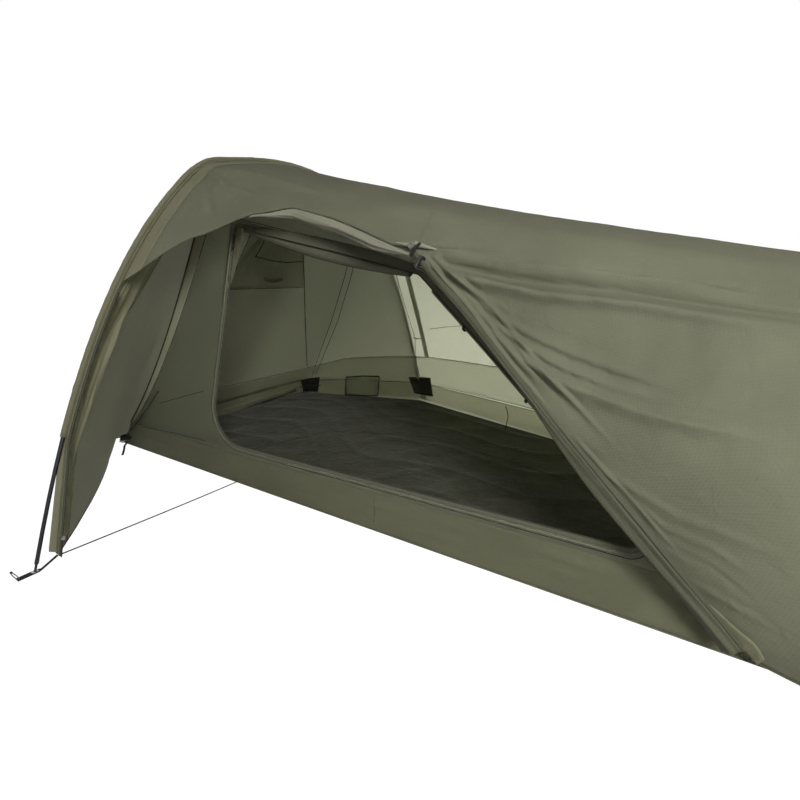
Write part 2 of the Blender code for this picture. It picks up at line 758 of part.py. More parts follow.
def near_side_point(a, s):
    """The fly's near side beyond the door: a from the roll to the low hoop, s from the seam to the hem."""
    x = mix(GATHER_X, HIGH_XS[-1], a)
    top, low = fly_point(x, GATHER_SHARE), side_hem_point(a)
    left, right = side_edge_point(s), foot_leg_point(s)
    ruled = left.lerp(right, a) + top.lerp(low, s)
    corners = (
        side_edge_point(0) * (1 - a) * (1 - s)
        + foot_leg_point(0) * a * (1 - s)
        + side_edge_point(1) * (1 - a) * s
        + foot_leg_point(1) * a * s
    )
    return ruled - corners


def make_near_side():
    start = CORNER_GAP / 2 / (roll_point(1) - roll_point(0)).length
    shares = [(x - GATHER_X) / (HIGH_XS[-1] - GATHER_X) for x in HIGH_XS]
    cloth("fly_side_near", near_side_point, shares, spread(start, 1, 8))


def make_fly_head():
    seam = HEAD_SEAM_GAP / 2 / ARCH_LENGTH
    first = FLY_EDGE

    def panel(q, t):
        hem = head_hem(t)
        reach = max(-hem.x, first * 1.02)
        return head_point(mix(first / reach, 1, q), t)

    near = spread(HEM_SHARE + 0.006, SHOULDER_SHARE - seam, 10)
    cloth("fly_head_near", panel, spread(0, 1, 7), near)
    end = spread(SHOULDER_SHARE + seam, 1 - SHOULDER_SHARE - seam, 6)
    cloth("fly_head_end", panel, spread(0, 1, 7), end)
    far = spread(1 - SHOULDER_SHARE + seam, 1 - HEM_SHARE - 0.006, 10)
    cloth("fly_head_far", panel, spread(0, 1, 7), far)


def make_fly_foot():
    def panel(s, t):
        top = fly_point(FOOT_HOOP_X, t)
        middle = Vector((FOOT_HOOP_X + FOOT_SKIRT, 0, 0))
        low = Vector((middle.x, top.y * 0.94, FOOT_SKIRT_HEIGHT))
        point = top.lerp(low, s)
        return point + Vector((FOOT_EDGE * (1 - s), 0, 0))

    cloth("fly_foot_end", panel, spread(0, 1, 5), spread(HEM_SHARE + 0.006, 1 - HEM_SHARE - 0.006, 18))


# Rolls and folds of gathered cloth.


def gathered_roll(name, path, sizes, folds, finish, turn=0.0, sides=20):
    """Cloth gathered into a roll: rings along a path, with long folds round the section.

    sizes gives each ring's half width, half depth and fold height.
    """
    shape = bmesh.new()
    rings = []
    for k, point in enumerate(path):
        before, after = path[max(k - 1, 0)], path[min(k + 1, len(path) - 1)]
        along = (after - before).normalized()
        depth = Vector((0, -1, 0))
        depth = (depth - along * depth.dot(along)).normalized()
        width = along.cross(depth).normalized()
        half_width, half_depth, fold = sizes[k]
        ring = []
        for j in range(sides):
            a = 2 * math.pi * j / sides
            r = 1 + fold * math.sin(folds * a + turn + 0.35 * k)
            out = width * half_width * r * math.cos(a) + depth * half_depth * r * math.sin(a)
            ring.append(shape.verts.new(point + out))
        rings.append(ring)
    for low, high in zip(rings, rings[1:]):
        for j in range(sides):
            nxt = (j + 1) % sides
            shape.faces.new((low[j], low[nxt], high[nxt], high[j]))
    shape.faces.new(list(reversed(rings[0])))
    shape.faces.new(rings[-1])
    bmesh.ops.recalc_face_normals(shape, faces=shape.faces)
    return mesh_object(name, shape, finish)


def door_roll():
    """The rolled vestibule door's path and the size of each of its rings."""
    outwards = Vector((0, -1, 0))
    path, sizes = [], []
    for s in spread(ROLL_FROM_SHARE, ROLL_TO_SHARE, 12):
        half_width = mix(ROLL_TOP_WIDTH, ROLL_LOW_WIDTH, s) / 2 / (1 + ROLL_FOLD_RATIO)
        half_depth = half_width * ROLL_FLATNESS_RATIO
        band = (TIE_THICKNESS + TIE_CLEARANCE) * max(0.0, 1 - s / ROLL_BAND_TO_SHARE)
        away = half_depth * (1 + ROLL_FOLD_RATIO) + FABRIC / 2 + ROLL_CLEARANCE + band
        path.append(roll_point(s) + outwards * away)
        sizes.append((half_width, half_depth, ROLL_FOLD_RATIO))
    return path, sizes


# Inner tent.


def far_edge_y(x):
    """The far edge of the groundsheet, which bulges out to the tall hoop's far foot."""
    if x < 0:
        return mix(INNER_HALF_SPAN, INNER_HEAD_FAR_Y, x / INNER_HEAD_X)
    return INNER_HALF_SPAN - INNER_FAR_TAPER_RATIO * x


def make_groundsheet():
    edge = FABRIC / 2
    xs = [INNER_HEAD_X - edge, INNER_HEAD_X / 2, 0, *spread(0, INNER_FOOT_X + edge, 3)[1:]]

    def floor(x, s):
        y = mix(INNER_NEAR_Y - edge, far_edge_y(min(max(x, INNER_HEAD_X), INNER_FOOT_X)) + edge, s)
        return Vector((x, y, FABRIC / 2))

    cloth("groundsheet", floor, xs, spread(0, 1, 2), "groundsheet")

    near = [(x, near_wall_y(x, 0)) for x in spread(0, INNER_FOOT_X, 3)]
    far = [(x, far_edge_y(x)) for x in spread(INNER_FOOT_X, 0, 3)]
    low = [*near, *far]
    high = [(x, near_wall_y(x, BATHTUB_HEIGHT) if y < 0 else y) for x, y in low]
    corners = ((INNER_HEAD_X, INNER_HEAD_FAR_Y), (INNER_HEAD_X, INNER_NEAR_Y))
    top_corners = ((INNER_HEAD_TOP_X, INNER_HEAD_TOP_FAR_Y), (INNER_HEAD_TOP_X, high[0][1]))
    for (x, y), (top_x, top_y) in zip(corners, top_corners):
        before, top_before = low[-1], high[-1]
        for s in spread(0, 1, TUB_STEPS)[1:]:
            low.append((mix(before[0], x, s), mix(before[1], y, s)))
            high.append((mix(top_before[0], top_x, s), mix(top_before[1], top_y, s)))
    before, top_before = low[-1], high[-1]
    low.append((mix(before[0], low[0][0], 0.5), mix(before[1], low[0][1], 0.5)))
    high.append((mix(top_before[0], high[0][0], 0.5), mix(top_before[1], high[0][1], 0.5)))

    def wall(i, s):
        (xa, ya), (xb, yb) = low[i % len(low)], high[i % len(low)]
        z = mix(FABRIC + TUB_SEAM, BATHTUB_HEIGHT - SEAM_GAP, s)
        return Vector((mix(xa, xb, s), mix(ya, yb, s), z))

    shape = grid_shape(wall, list(range(len(low) + 1)), [0, 0.5, 1])
    bmesh.ops.remove_doubles(shape, verts=shape.verts, dist=1e-6)
    solidify(mesh_object("bathtub_wall", shape, "groundsheet"), FABRIC, even=True)


CORNER_STEPS = 3
STRAIGHT_STEPS = (5, 8, 4, 6)


def resample(line, count):
    """Points evenly spaced along a line in the plane, its two ends included."""
    lengths = [0.0]
    for a, b in zip(line, line[1:]):
        lengths.append(lengths[-1] + math.dist(a, b))
    points = []
    for wanted in spread(0, lengths[-1], count):
        i = min(bisect.bisect_right(lengths, wanted) - 1, len(line) - 2)
        k = (wanted - lengths[i]) / (lengths[i + 1] - lengths[i])
        points.append((mix(line[i][0], line[i + 1][0], k), mix(line[i][1], line[i + 1][1], k)))
    return points


def corner_arc(before, corner, after, radius, steps=2 * CORNER_STEPS):
    """A rounded corner, as points on an arc that touches both sides."""
    corner, before, after = Vector(corner), Vector(before), Vector(after)
    back, on = (before - corner).normalized(), (after - corner).normalized()
    half = back.angle(on) / 2
    reach = radius / math.tan(half)
    centre = corner + (back + on).normalized() * radius / math.sin(half)
    start, end = corner + back * reach - centre, corner + on * reach - centre
    turn = start.angle_signed(end)
    points = []
    for k in range(steps + 1):
        a = -turn * k / steps
        x = start.x * math.cos(a) - start.y * math.sin(a)
        y = start.x * math.sin(a) + start.y * math.cos(a)
        points.append((centre.x + x, centre.y + y))
    return points


def door_sides(inset):
    """The inner door's outline as four sides, each from the middle of one corner to the next."""
    corners = [Vector(corner) for corner, _ in INNER_DOOR]
    moved = []
    for k, corner in enumerate(corners):
        before, after = corners[k - 1], corners[(k + 1) % 4]
        back, on = (before - corner).normalized(), (after - corner).normalized()
        half = back.angle(on) / 2
        moved.append(corner + (back + on).normalized() * inset / math.sin(half))
    arcs = []
    for k in range(4):
        radius = max(INNER_DOOR[k][1] - inset, 0.003)
        arcs.append(corner_arc(moved[k - 1], moved[k], moved[(k + 1) % 4], radius))
    sides = []
    for k, steps in enumerate(STRAIGHT_STEPS):
        start, end = arcs[k][CORNER_STEPS:], arcs[(k + 1) % 4][: CORNER_STEPS + 1]
        sides.append(start[:-1] + resample([start[-1], end[0]], steps) + end[1:])
    return sides


def wall_sides():
    """The near wall's own outline in the same four sides: head edge, bathtub seam, foot edge, roof seam."""
    head = [(x, inner_edge_height(x)) for x in spread(0, INNER_HEAD_TOP_X, 12)]
    low = [(INNER_HEAD_TOP_X, BATHTUB_HEIGHT), (INNER_FOOT_X, BATHTUB_HEIGHT)]
    foot = [(INNER_FOOT_X, BATHTUB_HEIGHT), (INNER_FOOT_X, inner_edge_height(INNER_FOOT_X))]
    roof = [(x, inner_edge_height(x)) for x in spread(INNER_FOOT_X, 0, 16)]
    return [head, low, foot, roof]


def loop_of(sides):
    """The four sides as one loop, each with as many points as the door's."""
    loop = []
    for side, steps in zip(sides, STRAIGHT_STEPS):
        count = steps + 2 * CORNER_STEPS
        loop += (side if len(side) == count + 1 else resample(side, count))[:-1]
    return loop


def ring_sheet(name, outer, inner, rows, finish, thickness):
    """A sheet on the near wall between two closed outlines."""
    shape = bmesh.new()
    loops = []
    for r in range(rows + 1):
        loop = []
        for (xa, za), (xb, zb) in zip(outer, inner):
            x, z = mix(xa, xb, r / rows), mix(za, zb, r / rows)
            loop.append(shape.verts.new((x, near_wall_y(x, z), z)))
        loops.append(loop)
    count = len(outer)
    for a, b in zip(loops, loops[1:]):
        for k in range(count):
            shape.faces.new((a[k], a[(k + 1) % count], b[(k + 1) % count], b[k]))
    bmesh.ops.recalc_face_normals(shape, faces=shape.faces)
    return solidify(mesh_object(name, shape, finish), thickness)


def make_near_wall():
    door = loop_of(door_sides(0.0))
    edge = []
    for (xa, za), (xb, zb) in zip(loop_of(wall_sides()), door):
        share = CORNER_GAP / 2 * 1.5 / math.dist((xa, za), (xb, zb))
        edge.append((mix(xa, xb, share), mix(za, zb, share)))
    ring_sheet("inner_near_wall", edge, door, 3, "inner", FABRIC)
    tape_outer = loop_of(door_sides(CLEARANCE))
    tape_inner = loop_of(door_sides(CLEARANCE + ZIP_TAPE_WIDTH))
    ring_sheet("inner_door_zip_tape", tape_outer, tape_inner, 1, "sleeve", FABRIC)


def make_inner_walls():
    seam = CORNER_GAP / 2
    arc_seam = seam / ARCH_LENGTH
    roof_start = INNER_CORNER_SHARE + 1.7 * arc_seam
    far_corner = 1 - INNER_CORNER_SHARE
    xs = [seam, *spread(0, INNER_FOOT_X, 10)[1:-1], INNER_FOOT_X - seam]
    cloth("inner_roof", inner_point, xs, spread(roof_start, far_corner - arc_seam, 6), "inner")
    cloth("inner_far_wall", inner_point, xs, spread(far_corner + arc_seam, 1 - arc_seam, 8), "inner")

    def head(q, t):
        return inner_head_point(mix(seam / -INNER_HEAD_TOP_X, 1, q), t)

    ts = spread(INNER_CORNER_SHARE + arc_seam, far_corner - arc_seam, 6)
    cloth("inner_head_wall", head, spread(0, 1, 6), ts, "inner")

    def gusset(q, t):
        s = (t - far_corner) / (1 - far_corner)
        reach = max(-INNER_HEAD_TOP_X * (1 - s), seam * 1.05)
        return inner_head_point(mix(seam / reach, 1, q), t)

    cloth("inner_far_gusset", gusset, spread(0, 1, 6), spread(far_corner + arc_seam, 1 - 0.008, 8), "inner")

    def foot(s, t):
        top = inner_point(INNER_FOOT_X, t)
        share = (t - INNER_CORNER_SHARE) / (1 - INNER_CORNER_SHARE)
        y = mix(near_wall_y(INNER_FOOT_X, BATHTUB_HEIGHT), far_edge_y(INNER_FOOT_X), share)
        return Vector((INNER_FOOT_X, mix(top.y, y, s), mix(top.z, BATHTUB_HEIGHT, s)))

    cloth("inner_foot_wall", foot, spread(0, 1, 4), spread(INNER_CORNER_SHARE, 1, 10), "inner")


def tub_patch(name, low_ends, high_ends, stretch, heights, finish, gap=PATCH_GAP):
    """A patch on the inside of a straight stretch of the bathtub wall."""
    off = FABRIC + gap

    def surface(s, z):
        low, high = low_ends[0].lerp(low_ends[1], s), high_ends[0].lerp(high_ends[1], s)
        along = (low_ends[1] - low_ends[0]).normalized()
        inwards = along.cross(high - low).normalized()
        return low.lerp(high, z / BATHTUB_HEIGHT) + inwards * off

    cloth(name, surface, spread(*stretch, 4), spread(*heights, 2), finish)


def make_patches():
    head_low, head_high = (
        Vector((INNER_HEAD_X, INNER_HEAD_FAR_Y, 0)),
        Vector((INNER_HEAD_TOP_X, INNER_HEAD_TOP_FAR_Y, BATHTUB_HEIGHT)),
    )
    hoop_low, hoop_high = (Vector((0, INNER_HALF_SPAN, z)) for z in (0, BATHTUB_HEIGHT))
    foot_low, foot_high = (Vector((INNER_FOOT_X, far_edge_y(INNER_FOOT_X), z)) for z in (0, BATHTUB_HEIGHT))
    lows, highs = (hoop_low, head_low), (hoop_high, head_high)
    length = (head_low - hoop_low).length
    start, end, low, top = POCKET
    tub_patch("inner_pocket", lows, highs, (start, end), (low, top), "mesh")
    near_head = (1 - HEAD_PATCH_LENGTH / length, 1 - 0.004 / length)
    tub_patch("head_corner_patch", lows, highs, near_head, (PATCH_LOW, PATCH_TOP), "webbing")
    length = (foot_low - hoop_low).length
    lows, highs = (foot_low, hoop_low), (foot_high, hoop_high)
    near_hoop = (1 - FAR_PATCH_LENGTH / length, 1 - 0.016 / length)
    tub_patch("hoop_corner_patch", lows, highs, near_hoop, (PATCH_LOW, PATCH_TOP), "webbing", FLAT_PATCH_GAP)


def near_wall_point(x, z, inwards):
    return Vector((x, near_wall_y(x, z) + inwards, z))


def roll_off_wall(radius):
    """How far a roll's middle stands in from the near wall's middle, so that its ties clear it."""
    return FABRIC / 2 + radius * (1 + ROLL_FOLD_RATIO) + TIE_THICKNESS + 2 * TIE_CLEARANCE


def make_inner_rolls():
    (left, _), _, (right, _), (top_right, _) = INNER_DOOR
    path, sizes = [], []
    for s in spread(0, 1, 10):
        x = mix(TOP_ROLL_FROM, TOP_ROLL_TO, s)
        z = mix(left[1], top_right[1], (x - left[0]) / (top_right[0] - left[0]))
        z -= TOP_ROLL_RADIUS + TOP_ROLL_SAG * 4 * s * (1 - s)
        radius = TOP_ROLL_RADIUS * (0.55 + 0.45 * math.sin(math.pi * s))
        path.append(near_wall_point(x, z, FABRIC / 2 + radius * (1 + ROLL_FOLD_RATIO) + 2 * CLEARANCE))
        sizes.append((radius, radius, ROLL_FOLD_RATIO))
    gathered_roll("inner_door_top_roll", path, sizes, 4, "inner", sides=16)

    path, sizes = [], []
    for s in spread(SIDE_ROLL_FROM_SHARE, SIDE_ROLL_TO_SHARE, 12):
        x, z = mix(top_right[0], right[0], s), mix(top_right[1], right[1], s)
        path.append(near_wall_point(x, z, roll_off_wall(SIDE_ROLL_RADIUS)))
        sizes.append((SIDE_ROLL_RADIUS, SIDE_ROLL_RADIUS, ROLL_FOLD_RATIO))
    gathered_roll("inner_door_side_roll", path, sizes, 5, "inner", sides=16)
    for number, share in enumerate(TIE_SHARES, 1):
        tie_band(f"inner_door_tie_{number}", path, sizes, share * (len(path) - 1), "black_cord")


def tie_band(name, path, sizes, place, finish):
    """A flat band round a gathered roll, square to it, at a place counted in the roll's rings."""
    k = min(int(place), len(path) - 2)
    rest = place - k
    middle = path[k].lerp(path[k + 1], rest)
    along = (path[k + 1] - path[k]).normalized()
    depth = Vector((0, -1, 0))
    depth = (depth - along * depth.dot(along)).normalized()
    width = along.cross(depth).normalized()
    off = TIE_THICKNESS / 2 + TIE_CLEARANCE
    half_width = mix(sizes[k][0], sizes[k + 1][0], rest) * (1 + ROLL_FOLD_RATIO) + off
    half_depth = mix(sizes[k][1], sizes[k + 1][1], rest) * (1 + ROLL_FOLD_RATIO) + off

    def ring(a, s):
        out = width * half_width * math.cos(a) + depth * half_depth * math.sin(a)
        return middle + out + along * TIE_WIDTH * (s - 0.5)

    shape = grid_shape(ring, spread(0, 2 * math.pi, 20), [0, 1])
    bmesh.ops.remove_doubles(shape, verts=shape.verts, dist=1e-6)
    return solidify(mesh_object(name, shape, finish), TIE_THICKNESS, even=True)


def make_top_fold():
    """The vestibule door's upper part, drawn together under the roof's edge up to the gather."""
    path, sizes = [], []
    for s in spread(0, 1, 8):
        x = mix(TOP_FOLD_FROM, GATHER_X - 0.035, s)
        edge = fly_point(x, door_top_share(x))
        radius = TOP_FOLD_RADIUS * (0.35 + 0.65 * math.sin(math.pi * (0.12 + 0.76 * s)))
        under = radius * (1 + ROLL_FOLD_RATIO) + FABRIC / 2 + ROLL_CLEARANCE
        path.append(edge + Vector((0, 0.35, -0.94)) * under)
        sizes.append((radius, radius, ROLL_FOLD_RATIO))
    gathered_roll("fly_door_top_fold", path, sizes, 4, "fly", sides=14)


# Zips.


def prism(name, outline, thickness, place, finish, holes=()):
    """A flat outline given a thickness, centred on its plane."""
    data = bpy.data.curves.new(name, "CURVE")
    data.dimensions = "2D"
    data.fill_mode = "BOTH"
    data.extrude = thickness / 2
    for line in (outline, *holes):
        spline = data.splines.new("POLY")
        spline.points.add(len(line) - 1)
        for knot, point in zip(spline.points, line):
            knot.co = (*point, 0.0, 1.0)
        spline.use_cyclic_u = True
    thing = add_object(name, data, finish)
    thing.matrix_world = place
    return as_mesh(thing)


def circle(radius, count, centre=(0.0, 0.0)):
    steps = [2 * math.pi * k / count for k in range(count)]
    return [(centre[0] + radius * math.cos(a), centre[1] + radius * math.sin(a)) for a in steps]


def fused(whole, piece):
    """A second piece made one with the first."""
    union = whole.modifiers.new("Fused", "BOOLEAN")
    union.operation = "UNION"
    union.object = piece
    bpy.context.view_layer.update()
    graph = bpy.context.evaluated_depsgraph_get()
    mesh = bpy.data.meshes.new_from_object(whole.evaluated_get(graph))
    whole.modifiers.clear()
    whole.data = mesh
    bpy.data.objects.remove(piece, do_unlink=True)
    return whole


def zip_frame(origin, along, outwards):
    """Placement on a zip: X across the tape towards its free edge, Y out of the tape, Z along it."""
    z = along.normalized()
    y = (outwards - z * outwards.dot(z)).normalized()
    x = y.cross(z)
    return Matrix.Translation(origin) @ Matrix((x, y, z)).transposed().to_4x4()


def make_zip(prefix, place, gripped):
    """A slider that grips the tape's free edge, with ears and a pin that carry its pull.

    gripped is the side, 1 or -1 along X, on which the tape lies.
    """
    slot = FABRIC / 2 + CLEARANCE
    face = slot + SLIDER_WALL
    grip, nose, inside = gripped * SLIDER_GRIP, -gripped * SLIDER_NOSE, -gripped * CLEARANCE
    outline = (
        (grip, slot),
        (inside, slot),
        (inside, -slot),
        (grip, -slot),
        (grip, -face),
        (nose, -face),
        (nose, face),
        (grip, face),
    )
    body = prism(f"{prefix}_slider", outline, SLIDER_LENGTH, place, "black_plastic")
    body.name = f"{prefix}_slider"
    half = PULL_WIDTH / 2 + CLEARANCE
    pin_out = face + EAR_HEIGHT - EAR_THICKNESS
    on_side = place @ Matrix.Rotation(math.radians(90), 4, "Y")
    low, high = face - EAR_SINK, face + EAR_HEIGHT
    foot, head = EAR_FOOT_WIDTH / 2, EAR_HEAD_WIDTH / 2
    ear = ((-foot, low), (foot, low), (head, high), (-head, high))
    for side in (-1, 1):
        shift = Matrix.Translation((0, 0, side * (half + EAR_THICKNESS / 2)))
        fused(body, prism(f"{prefix}_ear", ear, EAR_THICKNESS, on_side @ shift, "black_plastic"))
    pin = circle(PIN_DIAMETER / 2, 10, (0.0, pin_out))
    fused(body, prism(f"{prefix}_pin", pin, 2 * half + EAR_THICKNESS, on_side, "black_plastic"))
    eye = circle(PULL_EYE, 16)
    thin = PULL_THICKNESS / 2
    tail = [point for point in eye if point[0] < PULL_EYE * 0.86]
    start = math.sqrt(PULL_EYE**2 - thin**2)
    tail = [p for p in eye if not (p[0] > start * 0.98)]
    outline = [(PULL_LENGTH, -thin), (PULL_LENGTH + thin, 0), (PULL_LENGTH, thin), (start, thin)]
    outline += tail + [(start, -thin)]
    hole = circle(PIN_DIAMETER / 2 + CLEARANCE, 12)
    at_pin = on_side @ Matrix.Translation((0, pin_out, 0))
    pull = prism(f"{prefix}_pull", outline, PULL_WIDTH, at_pin, "black_cord", holes=[hole])
    pull.name = f"{prefix}_pull"
    pin_axis = on_side.to_3x3() @ Vector((0, 0, 1))
    return at_pin.translation, pin_axis


def make_inner_zip():
    left = door_sides(CLEARANCE + ZIP_TAPE_WIDTH)[0]
    (xa, za), (xb, zb) = left[CORNER_STEPS], left[CORNER_STEPS + STRAIGHT_STEPS[0]]
    top, low = near_wall_point(xa, za, 0), near_wall_point(xb, zb, 0)
    along = (top - low).normalized()
    place = zip_frame(top - along * INNER_SLIDER_REST, along, Vector((0, -1, 0)))
    opening = Vector((1, 0, 0)).dot(place.to_3x3() @ Vector((1, 0, 0)))
    make_zip("inner_zip", place, -1 if opening > 0 else 1)


def make_fly_zip():
    line = main_lining_line()
    kept = [p for p in line if p.y < 0 and p.z < ZIP_TOP]
    inner = SLEEVE_WIDTH / 2 + CLEARANCE + FABRIC / 4

    def tape(i, j):
        return kept[i] + Vector((inner + ZIP_TAPE_WIDTH * j, 0, 0))

    strip = grid_shape(tape, list(range(len(kept))), [0, 1])
    solidify(mesh_object("fly_zip_tape", strip, "black_cord"), FABRIC)
    low, top = kept[0], kept[1]
    along = (top - low).normalized()
    edge = low + along * FLY_SLIDER_REST + Vector((inner + ZIP_TAPE_WIDTH, 0, 0))
    outwards = Vector((0, -along.z, along.y))
    place = zip_frame(edge, along, outwards)
    free = (place.to_3x3() @ Vector((1, 0, 0))).x
    make_zip("fly_zip", place, -1 if free > 0 else 1)


# Webbing, eyelets and cords at the pole feet.


def cut(whole, cutter):
    """A hole cut in a piece."""
    hole = whole.modifiers.new("Hole", "BOOLEAN")
    hole.operation = "DIFFERENCE"
    hole.object = cutter
    bpy.context.view_layer.update()
    graph = bpy.context.evaluated_depsgraph_get()
    mesh = bpy.data.meshes.new_from_object(whole.evaluated_get(graph))
    whole.modifiers.clear()
    whole.data = mesh
    bpy.data.objects.remove(cutter, do_unlink=True)
    return whole


def foot_strap(name, x, foot_y, inner_end, hole):
    """Webbing under a pole's foot, up to the fly's hem, with a hole for the tip and a loop for a peg."""
    side = math.copysign(1, foot_y)
    flat = STRAP_REST + STRAP_THICKNESS / 2
    line = [
        Vector((x, foot_y + side * STRAP_REACH, flat)),
        Vector((x, foot_y, flat)),
        Vector((x, foot_y - side * 0.012, flat)),
        inner_end,
    ]

    def ribbon(i, j):
        return line[i] + Vector((STRAP_WIDTH * (j - 0.5), 0, 0))

    strap = solidify(
        mesh_object(name, grid_shape(ribbon, [0, 1, 2, 3], [0, 1]), "webbing"), STRAP_THICKNESS
    )
    place = Matrix.Translation((x, foot_y, 0))
    cutter = prism(name + "_hole", circle(hole / 2, 16), STRAP_THICKNESS * 8, place, "webbing")
    cut(strap, cutter)
    middle = Vector((x + 0.004 - PEG_LOOP_LENGTH / 2, line[0].y - side * 0.003, flat))
    count = 20
    loop = bpy.data.curves.new(name + "_loop", "CURVE")
    loop.dimensions = "3D"
    loop.bevel_depth = PEG_LOOP_CORD / 2
    loop.bevel_resolution = 0
    spline = loop.splines.new("POLY")
    spline.points.add(count - 1)
    for knot, (u, v) in zip(spline.points, circle(0.5, count)):
        knot.co = (*(middle + Vector((u * PEG_LOOP_LENGTH, v * PEG_LOOP_WIDTH, 0))), 1.0)
    spline.use_cyclic_u = True
    return fused(strap, as_mesh(add_object(name + "_loop", loop, "webbing")))


def eyelet(name, x, foot_y):
    inner, outer = EYELET_BORE / 2, EYELET_BORE / 2 + EYELET_WALL
    low = STRAP_REST + STRAP_THICKNESS + CLEARANCE
    top = low + EYELET_FLANGE_THICKNESS
    flange = EYELET_FLANGE / 2
    profile = ((inner, top), (flange, top), (flange, low), (outer, low), (outer, 0.0003), (inner, 0.0003))
    place = Matrix.Translation((x, foot_y, 0))
    return turned(name, profile, "light_metal", place, steps=16, closed=True)


def tip_foot_y(stations):
    """Where a hoop's tip passes through the strap under it."""
    axis = stations[0] - stations[1]
    down = stations[0].z - STRAP_REST - STRAP_THICKNESS
    return abs((stations[0] + axis * (down / -axis.z)).y)


def make_feet():
    foot_y = tip_foot_y(main_stations())
    low_foot_y = tip_foot_y(foot_stations())
    near_tab, far_tab = fly_point(0, HEM_SHARE), fly_point(0, 1 - HEM_SHARE)
    below = Vector((0, 0, -0.0022))
    foot_strap("main_foot_strap_near", 0.0, -foot_y, near_tab + below, EYELET_HOLE)
    foot_strap("main_foot_strap_far", 0.0, foot_y, far_tab + below, EYELET_HOLE)
    eyelet("main_eyelet_near", 0.0, -foot_y)
    eyelet("main_eyelet_far", 0.0, foot_y)
    for side, name in ((-1, "near"), (1, "far")):
        tab = Vector((FOOT_HOOP_X, side * (FOOT_HALF_SPAN - 0.022), 0.009))
        foot_strap(f"foot_pole_strap_{name}", FOOT_HOOP_X, side * low_foot_y, tab, TIP_HOLE)


def make_ground_cord():
    """The cord that ties the tall hoop's near foot to the groundsheet's edge."""
    radius = GROUND_CORD_DIAMETER / 2
    tab = fly_point(0, HEM_SHARE)
    first = Vector((0, tab.y + 0.0012, tab.z - 0.0034))
    last = Vector((0, INNER_NEAR_Y - FABRIC / 2 - 2 * CLEARANCE, radius + CLEARANCE))
    points = []
    for s in spread(0, 1, 40):
        height = mix(last.z, first.z, (1 - s) ** GROUND_CORD_SAG_POWER)
        points.append(Vector((0, mix(first.y, last.y, s), height)))
    tube_curve("ground_cord", points, radius, "grey_cord")


def make_door_roll():
    """The rolled door, with the band and toggle that hold it up at the gather."""
    path, sizes = door_roll()
    gathered_roll("fly_door_roll", path, sizes, 5, "fly")
    tie_band("fly_door_band", path, sizes, DOOR_BAND_SHARE, "black_cord")
    half_depth = sizes[0][1] * (1 + ROLL_FOLD_RATIO) + TIE_THICKNESS + TIE_CLEARANCE
    ends, waist, half = TOGGLE_DIAMETER / 2, TOGGLE_DIAMETER / 2 * 0.8, TOGGLE_LENGTH / 2
    out = half_depth + waist + 2 * CLEARANCE
    middle = path[0].lerp(path[1], DOOR_BAND_SHARE) + Vector((0, -out, 0))
    profile = (
        (0, half),
        (ends * 0.7, half),
        (ends, half - 0.0015),
        (ends, half - 0.0050),
        (waist, half - 0.0070),
        (waist, -half + 0.0070),
        (ends, -half + 0.0050),
        (ends, -half + 0.0015),
        (ends * 0.7, -half),
        (0, -half),
    )
    turned("fly_door_toggle", profile, "black_plastic", frame_at(middle, Vector((0.5, 0, 0.86))), steps=12)


def make_buckle():
    """A two-bar buckle at the groundsheet's corner, towards the fly's."""
    along, up = Vector((-1, 0, 0)), Vector((0, 0, 1))
    x = INNER_HEAD_X - FABRIC / 2 - 2 * CLEARANCE
    start = Vector((x, INNER_NEAR_Y, BUCKLE_THICKNESS / 2 + 2 * CLEARANCE))
    place = Matrix.Translation(start) @ Matrix((along, up.cross(along), up)).transposed().to_4x4()
    half = BUCKLE_WIDTH / 2
    outline = ((0, -half), (BUCKLE_LENGTH, -half), (BUCKLE_LENGTH, half), (0, half))
    slot = (BUCKLE_LENGTH - 3 * BUCKLE_BAR) / 2
    slots = []
    for x in (BUCKLE_BAR, 2 * BUCKLE_BAR + slot):
        y = half - BUCKLE_BAR
        slots.append(((x, -y), (x + slot, -y), (x + slot, y), (x, y)))
    prism("head_corner_buckle", outline, BUCKLE_THICKNESS, place, "light_metal", holes=slots)


tent = None


def main():
    global tent
    clear_scene()
    tent = new_collection("lightweight tunnel tent")
    make_poles()
    make_sleeves()
    make_fly()
    make_door_roll()
    make_top_fold()
    make_groundsheet()
    make_near_wall()
    make_inner_walls()
    make_patches()
    make_inner_rolls()
    make_inner_zip()
    make_fly_zip()
    make_feet()
    make_ground_cord()
    make_buckle()


main()
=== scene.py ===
"""Looks of the lightweight tunnel tent: cloth with its folds and seams, cords, finishes, light and camera.

Metres, +Z up. X runs along the tent towards the foot end, and -Y is the vestibule side.
"""

import math

import bmesh
import bpy
import numpy as np
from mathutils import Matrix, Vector
from mathutils.bvhtree import BVHTree


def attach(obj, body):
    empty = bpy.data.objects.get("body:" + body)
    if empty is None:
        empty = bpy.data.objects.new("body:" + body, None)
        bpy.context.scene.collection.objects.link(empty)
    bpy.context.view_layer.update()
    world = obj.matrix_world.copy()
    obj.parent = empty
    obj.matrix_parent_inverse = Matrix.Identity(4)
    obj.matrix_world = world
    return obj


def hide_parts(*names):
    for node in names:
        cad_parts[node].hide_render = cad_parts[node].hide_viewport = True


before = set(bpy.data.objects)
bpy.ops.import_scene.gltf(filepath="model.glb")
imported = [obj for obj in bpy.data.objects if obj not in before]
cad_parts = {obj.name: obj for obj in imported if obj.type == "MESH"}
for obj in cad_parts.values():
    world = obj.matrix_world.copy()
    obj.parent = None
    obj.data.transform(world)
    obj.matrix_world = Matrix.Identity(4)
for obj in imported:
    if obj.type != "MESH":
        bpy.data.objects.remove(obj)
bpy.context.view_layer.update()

# Camera: where the photograph was taken from, and the photograph's size in pixels.
CAMERA_PLACE = Vector((1.111, -1.158, 0.609))
